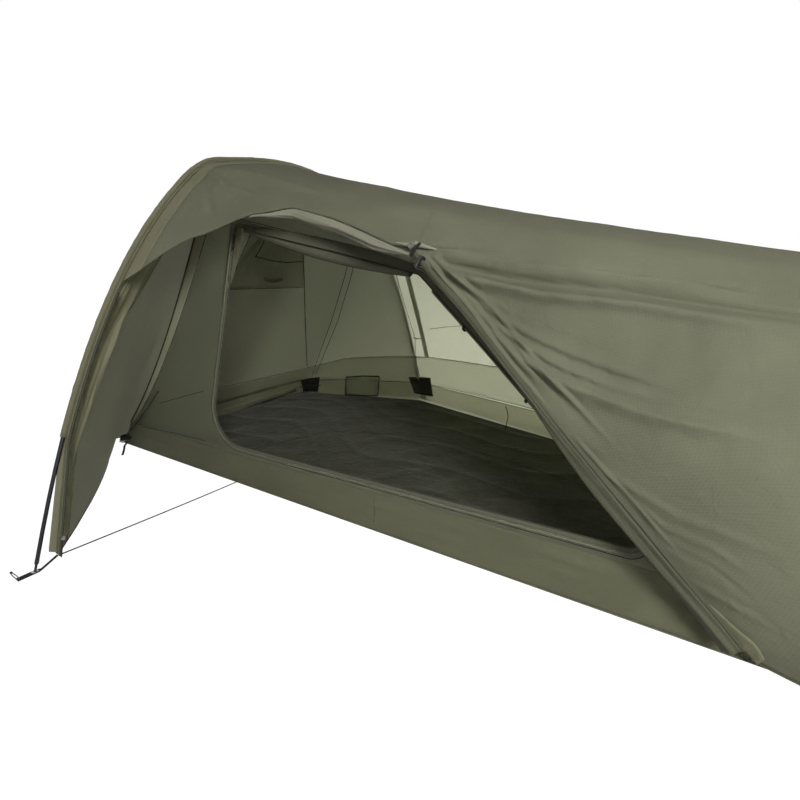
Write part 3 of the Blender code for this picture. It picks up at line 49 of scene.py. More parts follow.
CAMERA_TURN = (math.radians(75.12), 0.0, math.radians(31.76))
LENS = 19.43
SENSOR = 36.0
PICTURE = 800

# Hoops, fly and inner tent, as the CAD has them.
HOOP_HALF_SPAN = 0.884
HOOP_HEIGHT = 0.985
FOOT_HOOP_X = 1.53
FOOT_HALF_SPAN = 0.44
FOOT_HEIGHT = 0.635
FLY_SAG_RATIO = 0.25
HEAD_SAG_RATIO = 0.30
HEM_HEIGHT = 0.02
CLOTH = 0.0012
SLEEVE_CLOTH = 0.0010
TIP_LENGTH = 0.029
MAIN_PARTS = 42
FOOT_PARTS = 24
SLEEVE_END_HEIGHT = 0.284
LEAST_STEP = 0.008
SLEEVE_WIDTH = 0.018
NEAR_HEM_PULL = 0.034
SLEEVE_ARC = 0.00525
LINING_DEPTH = 0.00625
FLANGE_DEPTH = 0.00495
FLY_EDGE = 0.0097
FOOT_EDGE = 0.0100
HEAD_NEAR_CORNER = (-0.730, -0.380, 0.012)
HEAD_FAR_CORNER = (-0.730, 0.690, 0.012)
HEAD_HEM_BOW = 0.030
FOOT_SKIRT = 0.085
FOOT_SKIRT_HEIGHT = 0.012
DOOR_TOP_SIDES = ((0.0, 0.620), (0.137, 0.525), (0.256, 0.454), (0.330, 0.424), (0.430, 0.429))
GATHER_X = 0.650
GATHER_SIDE = 0.4705
ROLL_LOW_POINT = (1.288, -0.366, 0.014)
ROLL_TOP_WIDTH = 0.018
ROLL_LOW_WIDTH = 0.076
ROLL_FLATNESS_RATIO = 0.5
ROLL_FOLD_RATIO = 0.16
INNER_HEAD_X = -0.685
INNER_HEAD_TOP_X = -0.605
INNER_FOOT_X = 1.460
INNER_NEAR_Y = -0.355
INNER_HEAD_FAR_Y = 0.643
INNER_FOOT_FAR_Y = 0.350
INNER_HEAD_TOP_FAR_Y = 0.600
INNER_HALF_SPAN = 0.838
INNER_FAR_TAPER_RATIO = (INNER_HALF_SPAN - INNER_FOOT_FAR_Y) / INNER_FOOT_X
INNER_HEIGHT = 0.950
INNER_FOOT_HEIGHT = 0.585
BATHTUB_HEIGHT = 0.100
NEAR_WALL_FLAT_TO = 0.095
NEAR_WALL_LEAN_RATIO = 0.0224
NEAR_WALL_FOOT_LEAN_RATIO = 0.3582
INNER_CORNER_SIDE_SHARE = 0.400
INNER_DOOR = (
    ((0.083, 0.775), 0.022),
    ((-0.125, 0.118), 0.110),
    ((1.175, 0.118), 0.030),
    ((0.612, 0.643), 0.035),
)
ARCH_CURVES = (
    ((1.000, 0.000), (0.881, 0.328), (0.724, 0.689), (0.4355, 0.9168)),
    ((0.4355, 0.9168), (0.410, 0.9369), (0.3949, 0.944), (0.362, 0.9513)),
    ((0.362, 0.9513), (0.241, 0.9777), (0.1244, 1.000), (0.000, 1.000)),
)
ARCH_SAMPLES = 60

# Values that several sheets share.
TUCK = 0.0045
FACING_WIDTH = 0.043
TENT_MIDDLE = np.array((0.3, 0.0, 0.1))
AHEAD = (1.0, 0.0, 0.0)
CLEARANCE = 0.0003
HALF_FABRIC = 0.00075
TRIM_CLOTH = 0.0008
EDGE_GAP = 0.0006

# The sheets' own edges, hems and hollows.
HEM_CLEARANCE = 0.006
HEM_RADIUS = 0.0019
LEAST_HEIGHT = 0.004
HELD_EDGE = 0.012
HELD_DEPTH = 0.0010
HOLLOW_RATIO = 0.55
FOLD_STRENGTH = 2.3
FOLD_LAP = 0.45
FOLD_ENDS = (0.12, 0.3)
RIPPLE_WAVES = 9
PANEL_HEM_OUT = 0.0022
PANEL_HEM_WIDTH = 0.052

# Rolls and the bands round them.
ROLL_GAP = 0.00135
ROLL_GROWTH = 1 + ROLL_FOLD_RATIO
ROLL_COLUMNS = 84
DOOR_BAND_THICKNESS = 0.0018
DOOR_BAND_SHARE = 0.15
SIDE_ROLL_SPAN = (0.07, 0.92)
SIDE_ROLL_RADIUS = 0.0215
TIE_SHARES = (0.16, 0.50)
TIE_RADIUS = 0.0262
TIE_WIDTH = 0.006

# Zips, straps and cords.
ZIP_TAPE_WIDTH = 0.012
STRAP_LEVEL = 0.00145
STRAP_WIDTH = 0.015
STRAP_DROP = 0.0022
STRAP_OUTER_REACH = 0.032
STRAP_INNER_REACH = 0.012
STRAP_HOLE = 0.0088
LOW_STRAP_HOLE = 0.0060
PEG_LOOP_REACH = 0.022
PEG_LOOP_DIAMETER = 0.002
GROUND_CORD_DIAMETER = 0.003

# Where the fly's finish passes from its near side's to its far side's.
RIDGE_BLEND = (-0.02, 0.22)


# Small helpers on arrays of points.


def mix(a, b, share):
    return a + (b - a) * share


def sagged(share, sag):
    return share + sag * share * (1 - share)


def points(x, y, z):
    return np.stack(np.broadcast_arrays(x, y, z), -1).astype(float)


def lerp(a, b, share):
    """Points on the way from a to b, by an array of shares."""
    return np.asarray(a, float) + (np.asarray(b, float) - a) * np.asarray(share, float)[..., None]


def unit(v):
    return v / np.maximum(np.linalg.norm(v, axis=-1, keepdims=True), 1e-12)


def ease(s):
    s = np.clip(s, 0, 1)
    return s * s * (3 - 2 * s)


def span(count):
    return np.linspace(0, 1, count)


def held_between(s, start, end):
    """1 in the middle of 0 to 1, eased to 0 over a share at each end."""
    return ease(s / start) * ease((1 - s) / end)


def run_of(line):
    """Length along a line up to each of its points."""
    return np.concatenate([[0.0], np.cumsum(np.linalg.norm(np.diff(line, axis=0), axis=1))])


def along_line(line, lengths, wanted):
    """The points of a line at some lengths along it."""
    return np.stack([np.interp(wanted, lengths, line[:, k]) for k in range(line.shape[1])], -1)


def closed(line):
    return np.vstack([line, line[:1]])


# The tent's surfaces.


def arch_table():
    """The arch from the near foot to the far foot: the share of its length at each point, side and height."""
    half = []
    for curve in ARCH_CURVES:
        a, b, c, d = (np.array(p) for p in curve)
        s = np.arange(ARCH_SAMPLES)[:, None] / ARCH_SAMPLES
        r = 1 - s
        half.append(r**3 * a + 3 * r * r * s * b + 3 * r * s * s * c + s**3 * d)
    half = np.vstack([*half, [ARCH_CURVES[-1][-1]]])
    whole = np.vstack([half * (-1, 1), half[-2::-1]])
    lengths = run_of(whole * (HOOP_HALF_SPAN, HOOP_HEIGHT))
    return lengths / lengths[-1], whole[:, 0], whole[:, 1]


ARCH_T, ARCH_U, ARCH_V = arch_table()
NEAR = slice(0, len(ARCH_T) // 2 + 1)


def arch_at(t):
    return np.interp(t, ARCH_T, ARCH_U), np.interp(t, ARCH_T, ARCH_V)


def share_at_height(height, hoop_height):
    return np.interp(height / hoop_height, ARCH_V[NEAR], ARCH_T[NEAR])


def share_at_side(side):
    return np.interp(-side, ARCH_U[NEAR], ARCH_T[NEAR])


HEM_SHARE = share_at_height(HEM_HEIGHT, HOOP_HEIGHT)
SLEEVE_END_SHARE = share_at_height(SLEEVE_END_HEIGHT, HOOP_HEIGHT)
GATHER_SHARE = share_at_side(GATHER_SIDE / HOOP_HALF_SPAN)
INNER_CORNER_SHARE = share_at_side(INNER_CORNER_SIDE_SHARE)
SHOULDER_SHARE = share_at_side(ARCH_CURVES[1][3][0])


def near_pull(z, x):
    """How far the fly's near edge stands in from the pole below the sleeve."""
    hem = arch_at(HEM_SHARE)[0] * HOOP_HALF_SPAN + NEAR_HEM_PULL
    top = arch_at(SLEEVE_END_SHARE)[0] * HOOP_HALF_SPAN
    own = np.interp(np.maximum(z, 0) / HOOP_HEIGHT, ARCH_V[NEAR], ARCH_U[NEAR]) * HOOP_HALF_SPAN
    straight = mix(hem, top, (z - HEM_HEIGHT) / (SLEEVE_END_HEIGHT - HEM_HEIGHT))
    pull = (straight - own) * np.maximum(0.0, 1 - x / FOOT_HOOP_X)
    return np.where(z < SLEEVE_END_HEIGHT, pull, 0.0)


def fly_point(x, t):
    w = sagged(x / FOOT_HOOP_X, FLY_SAG_RATIO)
    u, v = arch_at(t)
    y = (mix(HOOP_HALF_SPAN, FOOT_HALF_SPAN, w) - FLANGE_DEPTH) * u
    z = (mix(HOOP_HEIGHT, FOOT_HEIGHT, w) - FLANGE_DEPTH) * v
    y = y + np.where(u < 0, near_pull(v * HOOP_HEIGHT, x), 0.0)
    return points(x, y, z)


def head_hem(t):
    """The fly's hem round the head end."""
    knots = (HEM_SHARE, SHOULDER_SHARE, 1 - SHOULDER_SHARE, 1 - HEM_SHARE)
    ends = fly_point(0.0, HEM_SHARE), fly_point(0.0, 1 - HEM_SHARE)
    stops = np.array([ends[0], HEAD_NEAR_CORNER, HEAD_FAR_CORNER, ends[1]])
    hem = np.stack([np.interp(t, knots, stops[:, k]) for k in range(3)], -1)
    s = np.clip((t - HEM_SHARE) / (SHOULDER_SHARE - HEM_SHARE), 0, 1)
    hem[..., 1] += HEAD_HEM_BOW * 4 * s * (1 - s)
    return hem


def head_point(q, t):
    """The fly from the tall hoop to its hem round the head end."""
    w = sagged(q, HEAD_SAG_RATIO)
    top, hem = fly_point(0.0, t), head_hem(t)
    shares = (q, w, w)
    return np.stack([mix(top[..., k], hem[..., k], shares[k]) for k in range(3)], -1)


def inner_height(x):
    return mix(INNER_HEIGHT, INNER_FOOT_HEIGHT, sagged(x / INNER_FOOT_X, FLY_SAG_RATIO))


def inner_edge_height(x):
    v = arch_at(INNER_CORNER_SHARE)[1]
    top = mix(BATHTUB_HEIGHT, INNER_HEIGHT, v)
    ahead = mix(top, BATHTUB_HEIGHT, sagged(x / INNER_HEAD_TOP_X, HEAD_SAG_RATIO))
    return np.where(x >= 0, mix(BATHTUB_HEIGHT, inner_height(x), v), ahead)


def near_wall_y(x, z):
    on = np.maximum(0.0, x - NEAR_WALL_FLAT_TO) / (INNER_FOOT_X - NEAR_WALL_FLAT_TO)
    return INNER_NEAR_Y + mix(NEAR_WALL_LEAN_RATIO, NEAR_WALL_FOOT_LEAN_RATIO, on) * z


def near_wall_point(x, z, inwards=0.0):
    return points(x, near_wall_y(x, z) + inwards, z)


def inner_point(x, t):
    u, v = arch_at(t)
    near = near_wall_y(x, inner_edge_height(x)) / -INNER_CORNER_SIDE_SHARE
    half = np.where(u < 0, near, INNER_HALF_SPAN - INNER_FAR_TAPER_RATIO * x)
    return points(x, half * u, mix(BATHTUB_HEIGHT, inner_height(x), v))


def inner_head_point(q, t):
    w = sagged(q, HEAD_SAG_RATIO)
    top = inner_point(0.0, t)
    far = 1 - INNER_CORNER_SHARE
    near_low = near_wall_y(INNER_HEAD_TOP_X, BATHTUB_HEIGHT)
    knots = (INNER_CORNER_SHARE, far, 1.0)
    low_x = np.interp(t, knots, (INNER_HEAD_TOP_X, INNER_HEAD_TOP_X, 0.0))
    low_y = np.interp(t, knots, (near_low, INNER_HEAD_TOP_FAR_Y, INNER_HALF_SPAN))
    x = mix(top[..., 0], low_x, q)
    y = mix(top[..., 1], low_y, w)
    return points(x, y, mix(top[..., 2], BATHTUB_HEIGHT, w))


def far_edge_y(x):
    ahead = mix(INNER_HALF_SPAN, INNER_HEAD_FAR_Y, x / INNER_HEAD_X)
    return np.where(x < 0, ahead, INNER_HALF_SPAN - INNER_FAR_TAPER_RATIO * x)


def door_top_share(x):
    """Share of the arch at which the vestibule door's top edge lies."""
    stops = [*DOOR_TOP_SIDES, (GATHER_X, GATHER_SIDE)]
    side = np.full(np.shape(x), GATHER_SIDE)
    for (xa, sa), (xb, sb) in zip(stops, stops[1:]):
        k = np.clip((x - xa) / (xb - xa), 0, 1)
        eased = mix(k, (1 - np.cos(np.pi * k)) / 2, 0.4)
        side = np.where((x >= xa) & (x <= xb), mix(sa, sb, eased), side)
    return share_at_side(side / HOOP_HALF_SPAN)


def roll_point(s):
    return lerp(fly_point(GATHER_X, GATHER_SHARE), np.array(ROLL_LOW_POINT), s)


def foot_leg_point(s):
    return fly_point(FOOT_HOOP_X - FLY_EDGE, mix(GATHER_SHARE, HEM_SHARE, np.asarray(s, float)))


def side_edge_point(s):
    """The near side's free edge, which lies behind the rolled door."""
    beside = 0.004 * np.sqrt(np.asarray(s, float))
    return roll_point(s) + beside[..., None] * np.array((1, 0, 1)) / math.sqrt(2)


def near_side_point(a, s):
    """The fly's near side beyond the door: a from the roll to the low hoop, s from the seam to the hem."""
    x = mix(GATHER_X, FOOT_HOOP_X - FLY_EDGE, a)
    top = fly_point(x, np.full(np.shape(x), GATHER_SHARE))
    low = lerp(side_edge_point(1.0), foot_leg_point(1.0), a)
    ruled = lerp(side_edge_point(s), foot_leg_point(s), a) + lerp(top, low, s)
    seam = lerp(side_edge_point(0.0), foot_leg_point(0.0), a)
    hem = lerp(side_edge_point(1.0), foot_leg_point(1.0), a)
    return ruled - lerp(seam, hem, s)


# Camera and the lines of sight through the photograph's pixels.


def make_camera():
    data = bpy.data.cameras.new("photo_camera")
    data.lens = LENS
    data.sensor_width = SENSOR
    camera = bpy.data.objects.new("photo_camera", data)
    bpy.context.scene.collection.objects.link(camera)
    camera.location = CAMERA_PLACE
    camera.rotation_euler = CAMERA_TURN
    bpy.context.scene.camera = camera
    bpy.context.view_layer.update()
    return camera.matrix_world.to_3x3()


LOOK = make_camera()


def sight(x, y):
    """The direction in which a pixel of the photograph looks."""
    focal = LENS / SENSOR * PICTURE
    return (LOOK @ Vector((x - PICTURE / 2, PICTURE / 2 - y, -focal))).normalized()


# Finishes. Their parts pass the outputs of nodes to one another.


def join(node, values):
    """Sets a node's inputs, each to a value or to another node's output."""
    for key, value in values.items():
        if isinstance(value, bpy.types.NodeSocket):
            node.id_data.links.new(value, node.inputs[key])
        else:
            node.inputs[key].default_value = value


def add(tree, kind, values=None, out=0, **settings):
    """A new node with its settings and inputs; gives one of its outputs."""
    node = tree.nodes.new("ShaderNode" + kind)
    for key, value in settings.items():
        setattr(node, key, value)
    join(node, values or {})
    return node.outputs[out]


def seen_by(tree, *rays):
    """1 for rays of some kinds."""
    path = add(tree, "LightPath").node
    total = path.outputs[f"Is {rays[0]} Ray"]
    for ray in rays[1:]:
        total = add(tree, "Math", {0: total, 1: path.outputs[f"Is {ray} Ray"]}, operation="MAXIMUM")
    return total


class Finish:
    """A material in the making."""

    def __init__(self, name):
        self.material = bpy.data.materials.new(name)
        self.material.use_nodes = True
        self.tree = self.material.node_tree
        self.shader = self.tree.nodes["Principled BSDF"]
        self.output = self.tree.nodes["Material Output"]

    def add(self, kind, values=None, out=0, **settings):
        return add(self.tree, kind, values, out, **settings)

    def math(self, operation, first, second=0.0):
        return self.add("Math", {0: first, 1: second}, operation=operation)

    def noise(self, place, scale, detail, roughness=0.55, distortion=0.0):
        values = {"Scale": scale, "Detail": detail, "Roughness": roughness, "Distortion": distortion}
        return self.add("TexNoise", {"Vector": place, **values})

    def bands(self, place, scale, direction, distortion=0.0):
        values = {"Vector": place, "Scale": scale, "Distortion": distortion}
        return self.add("TexWave", values, 1, wave_type="BANDS", bands_direction=direction)

    def ramp(self, source, colours, stops):
        mapped = self.add("ValToRGB", {"Fac": source})
        elements = mapped.node.color_ramp.elements
        while len(elements) < len(colours):
            elements.new(0.5)
        for element, colour, stop in zip(elements, colours, stops):
            element.position = stop
            element.color = (*colour, 1.0)
        return mapped

    def tint(self, base, mask, colour, most):
        """The base colour moved towards another where a mask is high."""
        values = {0: self.math("MULTIPLY", mask, most), 6: base, 7: (*colour, 1.0)}
        return self.add("Mix", values, 2, data_type="RGBA")

    def bump(self, height, distance, strength, after=None):
        values = {"Height": height, "Distance": distance, "Strength": strength}
        return self.add("Bump", values if after is None else {**values, "Normal": after})

    def spread(self, source, low, high, **settings):
        return self.add("MapRange", {0: source, "To Min": low, "To Max": high}, **settings)

    def beyond_ridge(self, place, near, far):
        """One value on the near side of the tent that passes into another behind the ridge."""
        across = self.add("SeparateXYZ", {0: place}, 1)
        value = self.spread(across, near, far, interpolation_type="SMOOTHSTEP")
        join(value.node, {"From Min": RIDGE_BLEND[0], "From Max": RIDGE_BLEND[1]})
        return value

    def line_mask(self, uv, axis, spacing, width):
        """1 on thin lines across one direction of the cloth."""
        scaled = self.math("MULTIPLY", self.add("SeparateXYZ", {0: uv}, axis), 1 / spacing)
        return self.math("LESS_THAN", self.math("FRACT", scaled), width)

    def done(self, base, rough, rise, **values):
        join(self.shader, {"Base Color": base, "Roughness": rough, "Normal": rise})
        join(self.shader, {key.replace("_", " "): value for key, value in values.items()})
        return self.material


def shade(colour, share):
    return tuple(c * share for c in colour)


def cloth_finish(name, colour, glow, through, rough, sheen, ripstop=0.006, crinkle=0.0035, shine=0.08,
                 far_through=None):
    """Thin coated cloth: a fine weave with ripstop lines, soft crinkles, and some light let through."""
    f = Finish(name)
    uv = f.add("UVMap", uv_map="Cloth")
    place = f.add("TexCoord", out="Object")
    clouds = f.noise(place, 5.0, 6.0, distortion=0.4)
    base = f.ramp(clouds, (shade(colour, 0.82), colour, shade(colour, 1.16)), (0.30, 0.50, 0.72))
    lines = f.math("MAXIMUM", f.line_mask(uv, 0, ripstop, 0.13), f.line_mask(uv, 1, ripstop, 0.13))
    scuffs = f.math("GREATER_THAN", f.noise(place, 60.0, 4.0), 0.66)
    worn = f.tint(f.tint(base, lines, shade(colour, 1.7), 0.30), scuffs, shade(colour, 1.45), 0.16)
    blend = through
    if far_through is not None:
        paler = f.beyond_ridge(place, 1.0, (1 - through) / (1 - far_through))
        worn = f.add("VectorMath", {0: worn, 3: paler}, operation="SCALE")
        blend = f.beyond_ridge(place, through, far_through)
    rise = f.bump(f.noise(place, 26.0, 7.0, 0.62, 1.1), crinkle, 0.8)
    rise = f.bump(f.bands(uv, 260.0, "DIAGONAL", 1.5), 0.00010, 0.6, rise)
    rise = f.bump(lines, 0.00025, 0.8, rise)
    if through > 0:
        lit = f.add("BsdfTranslucent", {"Color": (*glow, 1.0), "Normal": rise})
        join(f.output, {"Surface": f.add("MixShader", {0: blend, 1: f.shader.outputs[0], 2: lit})})
    return f.done(worn, f.spread(clouds, rough - 0.10, rough + 0.12), rise, Sheen_Weight=sheen,
                  Sheen_Roughness=0.45, Specular_IOR_Level=shine)


def woven_finish(name, colour, pitch, rough=0.8, stitch=0.0, stitch_colour=None):
    """Webbing, binding or tape: ribs across its length, and a row of stitches where it has one."""
    f = Finish(name)
    uv = f.add("UVMap", uv_map="Cloth")
    fibres = f.noise(f.add("TexCoord", out="Object"), 900.0, 3.0)
    base = f.ramp(fibres, (shade(colour, 0.75), shade(colour, 1.35)), (0.35, 0.70))
    ribs = f.bands(uv, 1 / pitch / 3.2, "Y", 0.6)
    shown = f.tint(base, ribs, shade(colour, 1.8), 0.35)
    rise = f.bump(ribs, 0.0004, 0.9)
    if stitch:
        thread = f.math("MULTIPLY", f.line_mask(uv, 0, stitch, 0.12), f.line_mask(uv, 1, 0.004, 0.62))
        shown = f.tint(shown, thread, stitch_colour, 0.9)
        rise = f.bump(thread, 0.0003, 0.9, rise)
    return f.done(shown, f.spread(fibres, rough - 0.08, min(rough + 0.12, 1.0)),
                  f.bump(fibres, 0.00015, 0.5, rise), Sheen_Weight=0.02, Specular_IOR_Level=0.12)


def braid_finish(name, colour, fleck, pitch=0.0022):
    """Braided cord: two crossing bands of strands round it."""
    f = Finish(name)
    uv = f.add("UVMap", uv_map="Cloth")
    strands = []
    for turn in (math.radians(48), math.radians(-48)):
        turned = f.add("Mapping", {"Vector": uv, "Rotation": (0, 0, turn)})
        strands.append(f.bands(turned, 1 / pitch / 3.2, "X"))
    woven = f.math("MULTIPLY", *strands)
    fibres = f.noise(f.add("TexCoord", out="Object"), 1400.0, 2.0)
    base = f.ramp(fibres, (shade(colour, 0.7), shade(colour, 1.3)), (0.35, 0.7))
    rise = f.bump(fibres, 0.0001, 0.5, f.bump(woven, 0.0004, 1.0))
    return f.done(f.tint(base, woven, fleck, 0.5), f.spread(fibres, 0.7, 0.9), rise,
                  Specular_IOR_Level=0.15)


def hard_finish(name, colour, metallic, rough, scratch, fine=300.0):
    """Anodised metal or moulded plastic: brushed or stippled grain, with paler rubbed spots."""
    f = Finish(name)
    place = f.add("TexCoord", out="Object")
    grain = f.noise(f.add("Mapping", {"Vector": place, "Scale": (1.0, 1.0, 0.15)}), fine, 5.0)
    worn = f.noise(place, 45.0, 6.0, distortion=0.8)
    base = f.ramp(worn, (shade(colour, 0.85), colour, scratch), (0.30, 0.62, 0.86))
    roughness = f.spread(grain, rough - 0.10, rough + 0.16)
    return f.done(base, roughness, f.bump(grain, 0.00008, 0.6), Metallic=metallic)


FLY = cloth_finish("fly_cloth", (0.168, 0.170, 0.126), (0.86, 0.87, 0.75), 0.26, 0.66, 0.02)
CANOPY = cloth_finish("canopy_cloth", (0.164, 0.167, 0.119), (0.94, 0.948, 0.85), 0.26, 0.70, 0.01,
                      shine=0.02, far_through=0.68)
HEAD_CANOPY = cloth_finish("head_canopy_cloth", (0.160, 0.163, 0.114), (0.93, 0.938, 0.80), 0.28, 0.68,
                           0.01, shine=0.05, far_through=0.47)
FOLDED = cloth_finish("folded_fly_cloth", (0.270, 0.268, 0.205), (0.80, 0.80, 0.70), 0.20, 0.62, 0.02)
PATCH = cloth_finish("patch_cloth", (0.210, 0.212, 0.160), (0.85, 0.86, 0.76), 0.45, 0.7, 0.01)
# The rolled door's cloth is the fly's cloth darkened, which is painted shade. Its low translucency stands for
# the many rolled layers.
PAINTED_SHADE_ROLL = cloth_finish("rolled_fly_cloth_painted_shade", (0.092, 0.094, 0.064), (0.60, 0.61, 0.50), 0.12, 0.62, 0.02)
FLY_HEM = woven_finish("fly_hem", (0.085, 0.088, 0.060), 0.0016, rough=0.7)
EDGING = woven_finish("black_edging", (0.022, 0.022, 0.020), 0.0014, rough=0.7)
SLEEVE = cloth_finish("sleeve_cloth", (0.185, 0.182, 0.124), (0.84, 0.82, 0.68), 0.42, 0.66, 0.02,
                      ripstop=0.004)
TAN = cloth_finish("door_facing_cloth", (0.215, 0.211, 0.142), (0.80, 0.80, 0.68), 0.34, 0.60, 0.03)
# The tan facing cloth made paler for the laid-back door and the facing inside the hoop. This is a painted
# highlight for light that does not reach them.
PAINTED_LIT_FACING = cloth_finish("facing_cloth_painted_lit", (0.330, 0.322, 0.232), (0.95, 0.94, 0.84), 0.62, 0.60, 0.03)
INNER = cloth_finish("inner_cloth", (0.158, 0.161, 0.114), (0.89, 0.897, 0.862), 0.72, 0.75, 0.01,
                     ripstop=0.005)
INNER_BAND = cloth_finish("inner_band_cloth", (0.210, 0.212, 0.160), (0.95, 0.955, 0.91), 0.84, 0.7, 0.01)
PANEL_HEM = cloth_finish("panel_hem_cloth", (0.390, 0.394, 0.292), (0.92, 0.93, 0.86), 0.36, 0.7, 0.02)
INNER_ROLL = cloth_finish("rolled_inner_cloth", (0.105, 0.107, 0.076), (0.50, 0.51, 0.42), 0.08, 0.66, 0.02)
FLOOR_CLOTH = cloth_finish("floor_cloth", (0.033, 0.035, 0.019), (0.1, 0.1, 0.08), 0.0, 0.40, 0.12,
                           crinkle=0.008, shine=0.05)
TUB_CLOTH = cloth_finish("tub_cloth", (0.142, 0.145, 0.098), (0.88, 0.890, 0.77), 0.46, 0.55, 0.12,
                         crinkle=0.005)
MESH_CLOTH = cloth_finish("pocket_mesh", (0.180, 0.183, 0.150), (0.96, 0.965, 0.93), 0.82, 0.8, 0.01,
                          ripstop=0.0022)
BLACK_TAPE = woven_finish("black_tape", (0.016, 0.016, 0.016), 0.0011)
ZIP_TAPE = woven_finish("zip_tape", (0.135, 0.137, 0.098), 0.0014, rough=0.7)
SEAM_TAPE = woven_finish("seam_tape", (0.040, 0.041, 0.030), 0.0011)
PALE_TAPE = woven_finish("pale_tape", (0.170, 0.172, 0.120), 0.0011, rough=0.7)
OLIVE_TAPE = woven_finish("olive_tape", (0.105, 0.107, 0.074), 0.0014, rough=0.7, stitch=0.006,
                          stitch_colour=(0.19, 0.19, 0.15))
WEBBING = woven_finish("webbing", (0.014, 0.014, 0.014), 0.0018)
GREY_CORD = braid_finish("grey_cord", (0.020, 0.020, 0.019), (0.060, 0.060, 0.056))
BLACK_CORD = braid_finish("black_cord", (0.014, 0.014, 0.015), (0.05, 0.05, 0.05))
ELASTIC = braid_finish("elastic", (0.20, 0.20, 0.18), (0.36, 0.36, 0.33), pitch=0.0014)
BLACK_METAL = hard_finish("black_alloy", (0.022, 0.023, 0.026), 0.85, 0.34, (0.10, 0.10, 0.11))
LIGHT_METAL = hard_finish("bright_alloy", (0.400, 0.400, 0.390), 1.0, 0.34, (0.75, 0.75, 0.74))
TIP_METAL = hard_finish("tip_alloy", (0.030, 0.031, 0.034), 0.85, 0.34, (0.30, 0.30, 0.30))
SLIDER_METAL = hard_finish("slider_alloy", (0.200, 0.198, 0.180), 0.6, 0.40, (0.45, 0.45, 0.43))
PLASTIC = hard_finish("black_plastic", (0.020, 0.020, 0.021), 0.0, 0.48, (0.06, 0.06, 0.06), fine=700.0)


# Cloth: grids of points moved along their normals by folds and ripples.


def grid_of(surface, us, vs):
    u, v = np.meshgrid(us, vs, indexing="ij")
    return surface(u, v)


def normals_of(grid):
    """The sheet's normals, on the side away from the tent's middle."""
    normal = unit(np.cross(np.gradient(grid, axis=0), np.gradient(grid, axis=1)))
    facing = np.sum(normal * (grid - TENT_MIDDLE), axis=-1).mean()
    return normal if facing > 0 else -normal


def fold(grid, normal, line, width, height):
    """How far one fold lifts each point: a ridge on a line with a hollow beside it, faded at its ends."""
    line = np.array(line, float)
    steps = np.linalg.norm(np.diff(line, axis=0), axis=1)
    start = np.concatenate([[0.0], np.cumsum(steps)])
    best = np.full(grid.shape[:-1], np.inf)
    along = np.zeros(grid.shape[:-1])
    side = np.zeros(grid.shape[:-1])
    for k, (a, b) in enumerate(zip(line, line[1:])):
        ab = b - a
        s = np.clip((grid - a) @ ab / (ab @ ab), 0, 1)
        off = grid - (a + s[..., None] * ab)
        distance = np.linalg.norm(off, axis=-1)
        closer = distance < best
        best = np.where(closer, distance, best)
        along = np.where(closer, start[k] + s * steps[k], along)
        side = np.where(closer, np.sign(np.sum(off * np.cross(ab, normal), axis=-1)), side)
    share = along / start[-1]
    fade = held_between(share, *FOLD_ENDS)
    g = best / np.where(side > 0, width, width * FOLD_LAP)
    ridge = 0.45 * np.exp(-g * g) + 0.55 * np.exp(-2.2 * g)
    hollow = 0.55 * g * g * np.exp(-0.7 * g * g)
    return height * fade * (ridge - hollow)


def ripples(grid, seed, size, height, stretch=(1, 1, 1)):
    """Soft irregular waves of about one size, the same in every run."""
    random = np.random.default_rng(seed)
    total = np.zeros(grid.shape[:-1])
    warp = np.zeros(grid.shape[:-1])
    for k in range(RIPPLE_WAVES):
        direction = unit(random.normal(size=3)) * np.array(stretch)
        wave = 2 * np.pi / (size * random.uniform(0.6, 1.7))
        turn = random.uniform(0, 2 * np.pi)
        value = np.sin(grid @ direction * wave + turn + 1.3 * warp)
        warp = 0.5 * warp + 0.5 * value
        total += value * random.uniform(0.5, 1.0)
    return height * total / RIPPLE_WAVES


def waves(grid, *kinds):
    """Ripples of several sizes together, each kind with its seed, size and height."""
    return sum(ripples(grid, *kind) for kind in kinds)


def softened(lift):
    """Ripples and folds whose hollows are shallower than their ridges are high."""
    return np.minimum(lift, 0.0) * HOLLOW_RATIO + np.maximum(lift, 0.0)


def measure(grid):
    """Lengths along both directions of a grid, as its flat pattern has them."""
    du = np.linalg.norm(np.diff(grid, axis=0), axis=-1)
    dv = np.linalg.norm(np.diff(grid, axis=1), axis=-1)
    su = np.concatenate([np.zeros((1, grid.shape[1])), np.cumsum(du, axis=0)])
    sv = np.concatenate([np.zeros((grid.shape[0], 1)), np.cumsum(dv, axis=1)], axis=1)
    return su, sv


def grid_mesh(name, grid, keep=None, wrap=False):
    """A mesh of a grid's quads, with its lengths as UV; keep says which quads stay."""
    rows, columns = grid.shape[:2]
    if wrap:
        grid = np.concatenate([grid, grid[:, :1]], axis=1)
        columns += 1
    su, sv = measure(grid)
    index = np.arange(rows * columns).reshape(rows, columns)
    quads = np.stack([index[:-1, :-1], index[1:, :-1], index[1:, 1:], index[:-1, 1:]], -1)
    if keep is not None:
        quads = quads[keep]
    quads = quads.reshape(-1, 4)
    mesh = bpy.data.meshes.new(name)
    mesh.from_pydata(grid.reshape(-1, 3).tolist(), [], quads.tolist())
    layer = mesh.uv_layers.new(name="Cloth")
    flat = np.stack([su, sv], -1).reshape(-1, 2)
    corners = np.zeros(len(mesh.loops), dtype=np.int32)
    mesh.loops.foreach_get("vertex_index", corners)
    layer.data.foreach_set("uv", flat[corners].ravel())
    mesh.update()
    return mesh


def put(name, mesh, material):
    piece = bpy.data.objects.new(name, mesh)
    bpy.context.scene.collection.objects.link(piece)
    mesh.materials.append(material)
    mesh.shade_smooth()
    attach(piece, "tent")
    return piece


